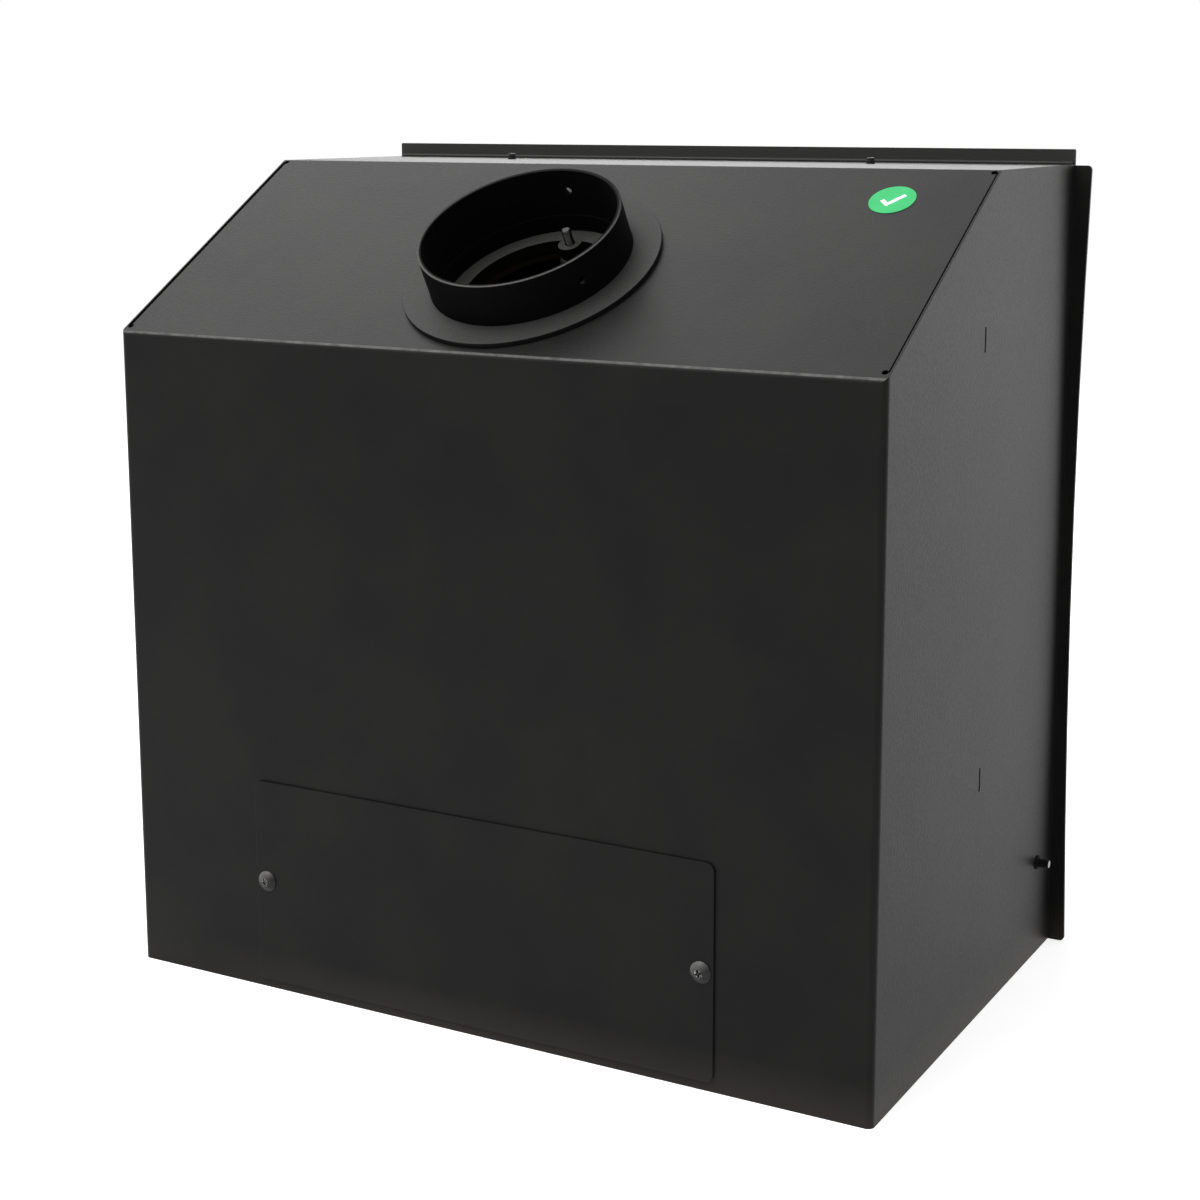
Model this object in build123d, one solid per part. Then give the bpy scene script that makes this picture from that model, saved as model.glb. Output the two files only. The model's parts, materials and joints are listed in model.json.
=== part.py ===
from build123d import *
import math
import os

# Inset multi-fuel stove, in millimetres.
# Z is up, the stove faces -Y, and Y = 0 is the plane where the casing's lips meet the fireplace face.

# Casing, folded from 2 mm sheet
casing_width = 512.0
casing_height = 515.0
casing_depth = 316.0
back_height = 412.0
slope_run = 172.0
sheet = 2.0
bend_radius = 4.0
ridge_radius = 3.0

# Seam along each edge of the slope, with a strip under it and a round relief hole at both ends
right_seam_gap = 2.4
left_seam_gap = 0.9
seam_from_side = 1.1
seam_from_bend = 7.0
seam_from_ridge = 3.0
seam_strip_width = 12.0
relief_radius = 1.9
relief_from_side = 3.6

# Lips that close against the fireplace face
top_lip_height = 9.5
top_lip_corner = 1.0
top_bead_radius = 1.2
top_bead_up = 0.6
side_lip_width = 11.0
side_lip_hollow = 4.0
side_lip_corner = 3.0
side_lip_drop = 0.6

# Opening in the back and its cover
back_opening_x = (-150.0, 150.0)
back_opening_z = (16.0, 126.0)
back_opening_corner = 4.0
cover_x = (-160.0, 160.0)
cover_z = (6.0, 136.0)
cover_corner = 5.0
cover_thick = 1.5
cover_screw_x = 152.0
cover_screw_z = 71.0
cover_screw_length = 8.0

# Flue outlet, measured from the middle of the collar and square to the slope
collar_up_slope = 86.0
collar_bore_radius = 60.0
collar_wall = 2.5
collar_top = 30.0
collar_clearance = 1.5
pipe_stop_height = -1.5
pipe_stop_step = 1.0
ledge_top = -12.5
ledge_thick = 8.0
ledge_bore_radius = 48.0
ear_radius = 7.5
collar_bolt_circle = 45.0
collar_bolt_angles = (90.0, 210.0, 330.0)
collar_bolt_stand = 10.0
wall_hole_height = 15.5
wall_hole_radius = 2.3
trim_ring_radius = 80.0
trim_ring_thick = 3.0
trim_ring_play = 0.1
gasket_thick = 2.0

# Round label on the slope
label_x = -200.5
label_up_slope = 167.0
label_radius = 14.0
label_thick = 0.3

# Bolts and bracket tabs that come through the casing
top_bolt_x = 134.6
top_bolt_y = 44.0
top_bolt_stand = 3.8
side_bolt_y = 32.0
side_bolt_z = 63.0
side_bolt_stand = 8.3
washer_thick = 1.2
washer_radius = 4.6
stay_thick = 2.0
stay_half_height = 20.0
stay_places = ((164.5, 419.0), (152.5, 153.0))
tab_half_height = 6.4
tab_slot_play = 0.2
tab_slot_end_radius = 0.9

# Base plate
base_play = 0.3
base_lip_y = (60.0, 300.0)
base_lip_height = 16.0
hearth_hole_circle = 150.0
hearth_hole_y = 158.0
hearth_hole_angles = (45.0, 135.0, 225.0, 315.0)
hearth_hole_radius = 4.0

# Firebox, 4 mm plate
plate = 4.0
firebox_width = 400.0
firebox_back = 290.0
firebox_bottom = 24.0
firebox_top = 470.0
outlet_radius = 50.0
outlet_lug_radius = 9.0
bearer_x = (130.0, 170.0)
bearer_y = (20.0, 270.0)
inside_play = 0.3

# Bricks and baffle
brick_thick = 25.5
brick_bottom = 116.3
side_brick_front = 12.0
side_brick_top = 380.0
rear_brick_top = 344.7
baffle_y = (100.0, 278.0)
baffle_thick = 18.0

# Air passages inside the firebox
duct_front = 262.0
duct_z = (345.0, 375.0)
duct_wall = 2.0
duct_inlet_radius = 12.0
duct_jets = 9
duct_jet_pitch = 36.0
duct_jet_radius = 4.0
airwash_box_half = 180.0
airwash_box_back = 30.0
airwash_box_bottom = 424.0

# Grate and its floor plate
floor_bottom = 106.0
floor_top = 116.0
floor_rim = 10.0
grate_width = 220.0
grate_y = (45.0, 245.0)
grate_bottom = 110.0
grate_top = 118.0
grate_play = 0.4
slot_pitch = 22.0
slot_width = 9.0
grate_slots = 9
grate_slot_length = 76.0
grate_slot_y = (98.0, 192.0)

# Riddling plate under the grate, with its arm and pull rod
riddle_z = (99.0, 104.0)
riddle_half_width = 95.0
riddle_y = (60.0, 245.0)
riddle_slots = 8
riddle_slot_length = 66.0
riddle_slot_y = (98.0, 182.0)
riddle_arm_x = 176.0
riddle_arm_y = (236.0, 245.0)
riddle_arm_half = 4.0
riddle_rod_radius = 4.0
riddle_rod_play = 0.06
riddle_rod_front = -24.0
riddle_guide_flange_radius = 10.0
riddle_guide_sleeve_radius = 5.8
riddle_guide_hole_radius = 6.0
riddle_guide_flange = 5.0
riddle_guide_back = 4.0
riddle_rail_y = (30.0, 205.0)
riddle_rail_x = (88.0, 95.5, 99.5)
riddle_rail_lip = 4.0
control_height = 67.0

# Log guard
guard_half = 160.0
guard_y = (16.0, 22.0)
guard_low = 120.3
guard_height = 38.0
guard_crown = 52.0
guard_crown_radius = 360.0
guard_slots = 8
guard_slot_pitch = 36.0
guard_slot_size = (24.0, 9.0)
guard_slot_up = 22.0
guard_bracket_x = (134.0, 146.0)
guard_bracket_y = (11.0, 27.0)
guard_bracket_top = 130.3
guard_groove_y = (15.6, 22.4)
guard_groove_bottom = 119.9

# Ash pan, its runners and its front
pan_half = 132.0
pan_front = -8.0
pan_back = 245.0
pan_bottom = 41.0
pan_top = 92.0
pan_wall = 1.5
runner_y = (5.0, 262.0)
runner_x = (112.0, 133.0, 136.0)
runner_thick = 3.0
runner_guide_top = 52.0
drawer_x = (-148.0, 148.0)
drawer_z = (28.0, 106.0)
drawer_front = -14.0
drawer_corner = 4.0
drawer_edge = 1.5
drawer_seal_inset = 2.5
drawer_seal_width = 5.0

# Face plate
face_thick = 5.0
face_front = -face_thick
face_half_width = 255.0
face_z = (2.3, 512.7)
face_corner = 3.0
face_edge = 1.0
door_opening_x = (-176.0, 176.0)
door_opening_z = (138.0, 414.0)
door_opening_corner = 12.0
drawer_opening_x = (-136.0, 136.0)
drawer_opening_z = (38.0, 98.0)
drawer_opening_corner = 4.0
convection_rows = (13.0, 482.0, 496.0)
convection_count = 8
convection_pitch = 58.0
convection_size = (44.0, 8.0)
face_tab_thick = 3.0
top_tab_x = (110.0, 160.0)
top_tab_back = 60.0
side_tab_x = 250.7
side_tab_back = 50.0
side_tab_z = (43.0, 83.0)

# Air slides on the face plate
slide_gap = 0.4
slide_thick = 3.2
rail_lip = 2.0
air_window_x = (-196.0, -160.0)
air_window_z = (59.0, 75.0)
air_window_corner = 3.0
primary_travel = 36.0
primary_slide_x = (-200.0, -156.0)
primary_slide_z = (56.0, 78.0)
primary_knob_x = -178.0
primary_rail_end = 2.0
primary_rail_width = 6.0
primary_rail_cover = 3.0
airwash_z = 457.0
airwash_slots = 6
airwash_pitch = 30.0
airwash_slot_size = (14.0, 6.0)
airwash_travel = 15.0
airwash_slide_x = (-104.0, 112.0)
airwash_slide_z = (449.0, 465.0)
airwash_knob_x = 98.0
airwash_rail_end = 3.0
airwash_rail_width = 5.0
airwash_rail_cover = 2.5

# Knobs: largest radius, length, neck radius
drawer_knob = (11.0, 26.0, 5.0)
riddle_knob = (10.0, 20.0, 5.0)
primary_knob = (8.0, 18.0, 4.0)
airwash_knob_size = (7.0, 16.0, 3.5)

# Door
door_front = -26.0
door_back = -7.0
door_half_width = 215.0
door_z = (112.0, 440.0)
door_corner = 10.0
door_edge = 4.0
door_bar = 50.0
window_corner = 8.0
window_bevel = 5.0
boss_x = (200.0, 230.0)
boss_half_height = 18.0
boss_corner = 6.0
boss_edge = 3.0

# Glass, its gasket and the strips that hold it
glass_margin = 9.0
glass_play = 1.0
glass_front = -16.5
glass_thick = 4.0
glass_gasket_thick = 1.5
glass_gasket_width = 8.0
strip_half = 165.0
strip_thick = 1.5
strip_ledge = 11.0
strip_lap = 5.0
strip_screw_x = (-140.0, 0.0, 140.0)
strip_screw_out = 5.5
strip_screw_length = 6.5

# Rope seal round the door
seal_inset = 27.0
seal_top_inset = 14.5
seal_width = 9.0
seal_groove_front = -15.0
seal_corner = 12.0
seal_play = 0.3

# Hinges
hinge_x = -226.0
hinge_y = -16.5
hinge_levels = (171.0, 361.0)
pin_radius = 4.0
pin_play = 0.05
pin_foot = 18.0
pin_collar_radius = 6.5
pin_collar_height = 1.0
knuckle_radius = 8.0
knuckle_length = 28.0
knuckle_lift = 1.4
block_height = 21.0
block_bore_floor = 3.0
flange_x = (-252.0, -236.0)
flange_front = -12.0
flange_below = 31.0
flange_above = 12.0
flange_corner = 3.0
arm_overlap = 4.0
block_screw_x = -245.0
block_screw_places = (-26.0, 6.0)
block_screw_length = 7.0

# Handle, drawn released with the lever hanging down, and its latch
spindle_x = 218.0
spindle_z = 279.0
spindle_radius = 4.5
spindle_play = 0.06
spindle_end = -7.4
lever_y = (-54.0, -47.0)
lever_half_width = 6.0
lever_drop = 34.0
tang_radius = 3.0
tang_end = 96.0
hub_radius = 10.0
grip_low = 100.0
grip_length = 64.0
grip_end_radius = 6.6
grip_curve = ((8.8, 9.0), (9.6, 24.0), (8.5, 44.0))
grip_top_radius = 7.6
grip_bore_radius = 3.05
cam_y = (-13.6, -8.6)
cam_reach = 23.0
cam_radius = 7.0
cam_pocket_x = 209.5
cam_pocket_front = -14.2
cam_pocket_play = 3.0
cam_pocket_below = 12.0
catch_x = (233.0, 243.0, 250.0)
catch_y = (-20.0, -14.2)
catch_half_height = 14.0

# Fasteners
m6_radius = 3.0
m6_across = 10.0
m6_head = 4.0
m5_radius = 2.5
m4_radius = 1.9
hole_play = 0.2
close_play = 0.1
tip_chamfer = 0.6
cover_screw_head = (6.6, 3.4)
block_screw_head = (4.2, 2.4)
strip_screw_head = (3.5, 2.2)

# Worked out from the dimensions above
half_width = casing_width / 2
half_firebox = firebox_width / 2
inner_firebox = half_firebox - plate - inside_play
firebox_offset = gasket_thick + ledge_thick - ledge_top
roof_under = firebox_offset + plate
slope_rise = casing_height - back_height
slope_angle = math.atan2(slope_rise, slope_run)
slope_sin = math.sin(slope_angle)
slope_cos = math.cos(slope_angle)
collar_y = casing_depth - collar_up_slope * slope_cos
collar_z = back_height + collar_up_slope * slope_sin
slope = Plane(origin=(0, collar_y, collar_z), x_dir=(1, 0, 0), z_dir=(0, slope_sin, slope_cos))
slope_length = math.hypot(slope_run, slope_rise)
seam_outer = half_width - seam_from_side
seam_ends = (collar_up_slope - slope_length + seam_from_ridge, collar_up_slope - seam_from_bend)
face_tab_under = face_z[1] - face_tab_thick
slide_back = face_front - slide_gap
slide_front = slide_back - slide_thick
glass_back = glass_front + glass_thick
gasket_front = glass_front - glass_gasket_thick
window_x = (-door_half_width + door_bar, door_half_width - door_bar)
window_z = (door_z[0] + door_bar, door_z[1] - door_bar)
glass_x = (window_x[0] - glass_margin, window_x[1] + glass_margin)
glass_z = (window_z[0] - glass_margin, window_z[1] + glass_margin)
seal_reach_x = door_half_width - seal_inset + seal_width / 2
seal_reach_z = seal_top_inset - seal_width / 2
seal_x = (-seal_reach_x, seal_reach_x)
seal_z = (door_z[0] + seal_reach_z, door_z[1] - seal_reach_z)
lever_middle = (lever_y[0] + lever_y[1]) / 2


def grown(span, margin):
    return (span[0] - margin, span[1] + margin)


# A box between its low and high limit on each axis.
def block(x, y, z):
    size = [high - low for low, high in (x, y, z)]
    middle = [(high + low) / 2 for low, high in (x, y, z)]
    return Pos(*middle) * Box(*size)


# Round bars along each axis.
def bar_x(x, y, z, radius):
    return Pos((x[0] + x[1]) / 2, y, z) * Rot(0, 90, 0) * Cylinder(radius, x[1] - x[0])


def bar_y(x, y, z, radius):
    return Pos(x, (y[0] + y[1]) / 2, z) * Rot(90, 0, 0) * Cylinder(radius, y[1] - y[0])


def bar_z(x, y, z, radius):
    return Pos(x, y, (z[0] + z[1]) / 2) * Cylinder(radius, z[1] - z[0])


# A flat outline that faces the front, as thick as the span of y.
def facing(sketch, x, y, z):
    front = Plane(origin=(x, y[1], z), x_dir=(1, 0, 0), z_dir=(0, -1, 0))
    return extrude(front * sketch, amount=y[1] - y[0])


def rounded_plate(x, y, z, radius):
    outline = RectangleRounded(x[1] - x[0], z[1] - z[0], radius)
    return facing(outline, (x[0] + x[1]) / 2, y, (z[0] + z[1]) / 2)


def rounded_frame(x, y, z, radius, width):
    outer = rounded_plate(x, y, z, radius)
    inner_radius = max(radius - width, 0.5)
    return outer - rounded_plate(grown(x, -width), y, grown(z, -width), inner_radius)


def long_hole(x, y, z, size):
    return facing(SlotOverall(size[0], size[1]), x, y, z)


# A tube round the local Z axis.
def tube(inner, outer, low, high):
    solid = Cylinder(outer, high - low) - Cylinder(inner, high - low)
    return Pos(0, 0, (low + high) / 2) * solid


# The same shape on the left and on the right.
def both_sides(shape):
    return [shape, mirror(shape, Plane.YZ)]


# A side outline, given as (y, z) points, stretched across the width.
def across(points, half):
    outline = make_face(Polyline(*points, close=True))
    return extrude(Plane.YZ * outline, amount=half, both=True)


# Height of the slope, or of a plane the given distance under it, at a depth.
def slope_height(y, under):
    return back_height - (under + (y - casing_depth) * slope_sin) / slope_cos


# Depth at which that plane reaches a height.
def slope_depth(z, under):
    return casing_depth - (under + (z - back_height) * slope_cos) / slope_sin


# Side outline with a level top, a slope and an upright back.
def stove_outline(front, back, bottom, top, under):
    bend = (back, slope_height(back, under))
    ridge = (slope_depth(top, under), top)
    return [(front, bottom), (back, bottom), bend, ridge, (front, top)]


# A hexagon bolt on the local Z axis, with the underside of its head at zero.
def hex_bolt(length):
    hexagon = RegularPolygon(m6_across / 2, 6, major_radius=False)
    head = Pos(0, 0, -m6_head) * extrude(hexagon, amount=m6_head)
    shank = Pos(0, 0, length / 2) * Cylinder(m6_radius, length)
    tip = shank.edges().sort_by(Axis.Z)[-1]
    return head + chamfer(tip, tip_chamfer)


# A domed screw with a tapered cross recess, on the local Z axis, head up, with its seat at zero.
def cross_screw(head_size, radius, length):
    head_radius, height = head_size
    rise = height * 0.85
    curve = (head_radius**2 + rise**2) / (2 * rise)
    ball = Pos(0, 0, height - curve) * Sphere(curve)
    head = ball & Pos(0, 0, height / 2) * Cylinder(head_radius, height)
    recess_depth = height * 0.6
    long_side = head_radius * 0.78
    short_side = head_radius * 0.17
    for turn in (0, 90):
        mouth = Pos(0, 0, height) * Rectangle(long_side, short_side)
        floor = Pos(0, 0, height - recess_depth) * Rectangle(long_side * 0.55, short_side * 0.7)
        head -= Rot(0, 0, turn + 20) * loft([floor.face(), mouth.face()])
    return head + Pos(0, 0, -length / 2) * Cylinder(radius, length)


# Turns an outline, drawn as (radius, height), round the local Z axis.
def turned(outline):
    return revolve(Plane.XZ * outline, axis=Axis.Z)


# A knob on the local Z axis, starting at zero, with a waisted neck and a rounded head.
def turned_knob(size):
    radius, length, neck = size
    points = [
        (0, 0),
        (neck, 0),
        (neck, length * 0.42),
        (radius, length * 0.56),
        (radius, length * 0.86),
        (radius * 0.62, length),
        (0, length),
    ]
    outline = make_face(Polyline(*points, close=True))
    bends = [v for v in outline.vertices() if v.X > neck * 0.9 and v.Y > length * 0.1]
    return turned(fillet(bends, length * 0.09))


# Turns a shape made on the local Z axis so that it points out of the front at x, y, z.
def to_front(shape, x, y, z):
    return Pos(x, y, z) * Rot(90, 0, 0) * shape


# Copies on the collar's bolt circle, with zero degrees along -X and 90 degrees up the slope.
def on_collar_circle(shape):
    places = []
    for angle in collar_bolt_angles:
        x = -collar_bolt_circle * math.cos(math.radians(angle))
        y = -collar_bolt_circle * math.sin(math.radians(angle))
        places.append(Pos(x, y, 0) * shape)
    return places


# A disc square to the slope, between two heights.
def disc(radius, low, high):
    return Pos(0, 0, (low + high) / 2) * Cylinder(radius, high - low)


# Outer casing
def bent_body(points, half, radius, ridge):
    body = across(points, half)
    back_y = points[1][0]
    bend_z = points[2][1]
    ridge_y, ridge_z = points[3]
    level = body.edges().filter_by(Axis.X)
    ridge_edge = [e for e in level if abs(e.center().Y - ridge_y) < 0.1 and e.center().Z > ridge_z - 0.1]
    body = fillet(ridge_edge, ridge)
    upright = [e for e in body.edges().filter_by(Axis.Z) if e.center().Y > back_y - 0.1]
    bend = [e for e in body.edges().filter_by(Axis.X) if abs(e.center().Z - bend_z) < 0.1]
    return fillet(upright + bend, radius)


def casing_walls():
    outer_points = stove_outline(0, casing_depth, 0, casing_height, 0)
    outside = bent_body(outer_points, half_width, bend_radius, ridge_radius)
    inner_points = stove_outline(-1, casing_depth - sheet, -1, casing_height - sheet, sheet)
    inner_half = half_width - sheet
    return outside - bent_body(inner_points, inner_half, bend_radius - sheet, ridge_radius - sheet)


def casing_seam(gap):
    cut = block((seam_outer - gap, seam_outer), seam_ends, (-sheet - 1, 1))
    for y in seam_ends:
        cut += Pos(half_width - relief_from_side, y, 0) * Cylinder(relief_radius, 2 * sheet + 2)
    return slope * cut


def seam_strip():
    x = (seam_outer - seam_strip_width, seam_outer)
    return slope * block(x, grown(seam_ends, -relief_radius), (-2 * sheet, -sheet))


def top_lip():
    lip_z = (casing_height - sheet, casing_height + top_lip_height)
    lip = rounded_plate((-half_width, half_width), (0, sheet), lip_z, top_lip_corner)
    bead_z = casing_height + top_bead_up
    return lip + bar_x((1 - half_width, half_width - 1), sheet, bead_z, top_bead_radius)


def side_lip():
    root = half_width - sheet
    edge = half_width + side_lip_width
    top = casing_height - side_lip_drop
    bottom_edge = Line((root, 0), (edge, 0))
    hollow = ThreePointArc((edge, 0), (edge - side_lip_hollow, casing_height / 2), (edge, top))
    rest = Polyline((edge, top), (root, top), (root, 0))
    outline = make_face(bottom_edge + hollow + rest)
    outer_corners = outline.vertices().sort_by(Axis.X)[-2:]
    return facing(fillet(outer_corners, side_lip_corner), 0, (0, sheet), 0)


def cover_screw_holes(radius):
    through = (casing_depth - 6, casing_depth + 6)
    return [bar_y(x, through, cover_screw_z, radius) for x in (-cover_screw_x, cover_screw_x)]


def outer_casing():
    body = casing_walls()
    body -= casing_seam(right_seam_gap)
    body -= mirror(casing_seam(left_seam_gap), Plane.YZ)
    for strip in both_sides(seam_strip()):
        body += strip
    body += top_lip()
    for lip in both_sides(side_lip()):
        body += lip
    body -= slope * Cylinder(collar_bore_radius + collar_wall + collar_clearance, 20)
    back = (casing_depth - 6, casing_depth + 4)
    body -= rounded_plate(back_opening_x, back, back_opening_z, back_opening_corner)
    for hole in cover_screw_holes(m5_radius + hole_play):
        body -= hole
    top = (casing_height - 6, casing_height + 4)
    for x in (-top_bolt_x, top_bolt_x):
        body -= bar_z(x, top_bolt_y, top, m6_radius + hole_play)
    through = (-half_width - 1, half_width + 1)
    body -= bar_x(through, side_bolt_y, side_bolt_z, m6_radius + hole_play)
    half_thick = stay_thick / 2 + tab_slot_play
    half_high = tab_half_height + tab_slot_play
    for y, z in stay_places:
        body -= block(through, (y - half_thick, y + half_thick), (z - half_high, z + half_high))
        for end in (z - half_high, z + half_high):
            body -= bar_x(through, y, end, tab_slot_end_radius)
    return body


def base_plate():
    half = half_width - sheet - base_play
    back = casing_depth - sheet - base_play
    body = block((-half, half), (face_front, back), (0, sheet))
    rear_corners = [e for e in body.edges().filter_by(Axis.Z) if e.center().Y > 0]
    body = fillet(rear_corners, bend_radius)
    for lip in both_sides(block((half - sheet, half), base_lip_y, (sheet, base_lip_height))):
        body += lip
    for angle in hearth_hole_angles:
        x = hearth_hole_circle * math.cos(math.radians(angle))
        y = hearth_hole_y + hearth_hole_circle * math.sin(math.radians(angle))
        body -= bar_z(x, y, (-1, sheet + 1), hearth_hole_radius)
    return body


def rear_access_cover():
    y = (casing_depth, casing_depth + cover_thick)
    cover = rounded_plate(cover_x, y, cover_z, cover_corner)
    for hole in cover_screw_holes(m5_radius + hole_play):
        cover -= hole
    return cover


def rear_cover_screws():
    screw = Rot(-90, 0, 0) * cross_screw(cover_screw_head, m5_radius, cover_screw_length)
    seat = casing_depth + cover_thick
    return [Pos(x, seat, cover_screw_z) * screw for x in (-cover_screw_x, cover_screw_x)]


def casing_bolts():
    top = hex_bolt(casing_height + top_bolt_stand - face_tab_under)
    side = Rot(0, 90, 0) * hex_bolt(half_width + side_bolt_stand - side_tab_x)
    bolts = both_sides(Pos(top_bolt_x, top_bolt_y, face_tab_under) * top)
    return bolts + both_sides(Pos(side_tab_x, side_bolt_y, side_bolt_z) * side)


def casing_bolt_washers():
    washer = Rot(0, 90, 0) * tube(m6_radius + hole_play, washer_radius, 0, washer_thick)
    return both_sides(Pos(half_width, side_bolt_y, side_bolt_z) * washer)


def inspection_label():
    above_collar = label_up_slope - collar_up_slope
    return slope * Pos(label_x, -above_collar, 0) * disc(label_radius, 0, label_thick)


# Flue outlet
def flue_ring():
    inner = collar_bore_radius + collar_wall + trim_ring_play
    return slope * tube(inner, trim_ring_radius, 0, trim_ring_thick)


def flue_collar():
    outer = collar_bore_radius + collar_wall
    ledge_bottom = ledge_top - ledge_thick
    body = tube(collar_bore_radius, outer, ledge_bottom, collar_top)
    body += tube(ledge_bore_radius, collar_bore_radius, ledge_bottom, ledge_top)
    stop_radius = collar_bore_radius - pipe_stop_step
    body += tube(stop_radius, collar_bore_radius, ledge_bottom, pipe_stop_height)
    for ear in on_collar_circle(disc(ear_radius, ledge_bottom, ledge_top)):
        body += ear
    for hole in on_collar_circle(disc(m6_radius + close_play, ledge_bottom - 1, ledge_top + 1)):
        body -= hole
    wall_hole = Pos(outer, 0, wall_hole_height) * Rot(0, 90, 0) * Cylinder(wall_hole_radius, 10)
    for angle in collar_bolt_angles:
        body -= Rot(0, 0, 180 + angle) * wall_hole
    return slope * body


def flue_gasket():
    top = ledge_top - ledge_thick
    low = top - gasket_thick
    body = tube(outlet_radius + 1, collar_bore_radius + collar_wall, low, top)
    for pad in on_collar_circle(disc(ear_radius, low, top)):
        body += pad
    for hole in on_collar_circle(disc(m6_radius + close_play, low - 1, top + 1)):
        body -= hole
    return slope * body


def flue_collar_bolts():
    length = roof_under + ledge_top + collar_bolt_stand
    bolt = Pos(0, 0, -roof_under) * hex_bolt(length)
    return [slope * placed for placed in on_collar_circle(bolt)]


# Firebox
def firebox_shell():
    outer = stove_outline(0, firebox_back, firebox_bottom, firebox_top, firebox_offset)
    inner_back = firebox_back - plate
    inner = stove_outline(-1, inner_back, firebox_bottom + plate, firebox_top - plate, roof_under)
    body = across(outer, half_firebox) - across(inner, half_firebox - plate)
    roof = (-roof_under - 6, -firebox_offset + 6)
    outlet = disc(outlet_radius, *roof)
    for lug in on_collar_circle(disc(outlet_lug_radius, *roof)):
        outlet -= lug
    body -= slope * outlet
    for hole in on_collar_circle(disc(m6_radius + close_play, *roof)):
        body -= slope * hole
    middle = (duct_z[0] + duct_z[1]) / 2
    return body - bar_y(0, (inner_back - 1, firebox_back + 1), middle, duct_inlet_radius)


def firebox_bearers():
    outer = block(bearer_x, bearer_y, (sheet, firebox_bottom))
    inner = block(grown(bearer_x, -sheet), grown(bearer_y, 1), (sheet - 1, firebox_bottom - sheet))
    return both_sides(outer - inner)


def firebox_stays():
    web_end = half_width - sheet - 0.2
    stays = []
    for y, z in stay_places:
        span_y = (y - stay_thick / 2, y + stay_thick / 2)
        web = block((half_firebox, web_end), span_y, grown((z, z), stay_half_height))
        tab = block((web_end, half_width - 0.3), span_y, grown((z, z), tab_half_height))
        stays += both_sides(web + tab)
    return stays


def firebox_floor():
    back = firebox_back - plate - inside_play
    body = block((-inner_firebox, inner_firebox), (inside_play, back), (floor_bottom, floor_top))
    pocket_x = (-grate_width / 2, grate_width / 2)
    body -= block(pocket_x, grate_y, (grate_bottom, floor_top + 1))
    hollow = block(grown(pocket_x, -floor_rim), grown(grate_y, -floor_rim), (floor_bottom - 1, floor_top))
    return body - hollow


# Cuts rows of long slots, lying front to back, through a plate.
def slotted(body, columns, rows, length, z):
    tool = extrude(SlotOverall(length, slot_width), amount=z[1] - z[0], both=True)
    for column in range(columns):
        x = (column - (columns - 1) / 2) * slot_pitch
        for y in rows:
            body -= Pos(x, y, z[0]) * Rot(0, 0, 90) * tool
    return body


def grate():
    half = grate_width / 2 - grate_play
    z = (grate_bottom, grate_top)
    body = block((-half, half), grown(grate_y, -grate_play), z)
    return slotted(body, grate_slots, grate_slot_y, grate_slot_length, grown(z, 1))


def riddling_plate():
    body = block((-riddle_half_width, riddle_half_width), riddle_y, riddle_z)
    return slotted(body, riddle_slots, riddle_slot_y, riddle_slot_length, grown(riddle_z, 1))


def riddling_arm():
    post_x = (riddle_arm_x - riddle_arm_half, riddle_arm_x + riddle_arm_half)
    post = block(post_x, riddle_arm_y, (control_height - riddle_arm_half, riddle_z[1]))
    return block((riddle_half_width, post_x[1]), riddle_arm_y, riddle_z) + post


def riddling_rails():
    lip_edge, web_inner, web_outer = riddle_rail_x
    lip_top = riddle_z[0] - slide_gap
    lip_bottom = lip_top - riddle_rail_lip
    web = block((web_inner, web_outer), riddle_rail_y, (lip_bottom, floor_bottom))
    lip = block((lip_edge, web_outer), riddle_rail_y, (lip_bottom, lip_top))
    return both_sides(web + lip)


def riddling_rod():
    return bar_y(riddle_arm_x, (riddle_rod_front, riddle_arm_y[0]), control_height, riddle_rod_radius)


def riddling_knob():
    return to_front(turned_knob(riddle_knob), riddle_arm_x, riddle_rod_front, control_height)


def riddling_guide():
    front = face_front - riddle_guide_flange
    flange_y = (front, face_front)
    sleeve_y = (face_front, riddle_guide_back)
    flange = bar_y(riddle_arm_x, flange_y, control_height, riddle_guide_flange_radius)
    sleeve = bar_y(riddle_arm_x, sleeve_y, control_height, riddle_guide_sleeve_radius)
    bore_y = (front - 1, riddle_guide_back + 1)
    bore = bar_y(riddle_arm_x, bore_y, control_height, riddle_rod_radius + riddle_rod_play)
    return flange + sleeve - bore


def side_brick_left():
    x = (-inner_firebox, brick_thick - inner_firebox)
    y = (side_brick_front, firebox_back - plate - inside_play)
    return block(x, y, (brick_bottom, side_brick_top))


def side_brick_right():
    return mirror(side_brick_left(), Plane.YZ)


def rear_brick():
    half = inner_firebox - brick_thick - inside_play
    back = firebox_back - plate - inside_play
    return block((-half, half), (back - brick_thick, back), (brick_bottom, rear_brick_top))


def baffle_plate():
    half = half_firebox - plate - 2
    low = side_brick_top + inside_play
    return block((-half, half), baffle_y, (low, low + baffle_thick))


def rear_air_duct():
    half = half_firebox - plate - brick_thick - 1
    y = (duct_front, firebox_back - plate)
    middle = (duct_z[0] + duct_z[1]) / 2
    body = block((-half, half), y, duct_z)
    body -= block((duct_wall - half, half - duct_wall), grown(y, -duct_wall), grown(duct_z, -duct_wall))
    body -= bar_y(0, (y[1] - duct_wall - 1, y[1] + 1), middle, duct_inlet_radius)
    for jet in range(duct_jets):
        x = (jet - (duct_jets - 1) / 2) * duct_jet_pitch
        body -= bar_y(x, (y[0] - 1, y[0] + duct_wall + 1), middle, duct_jet_radius)
    return body


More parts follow.
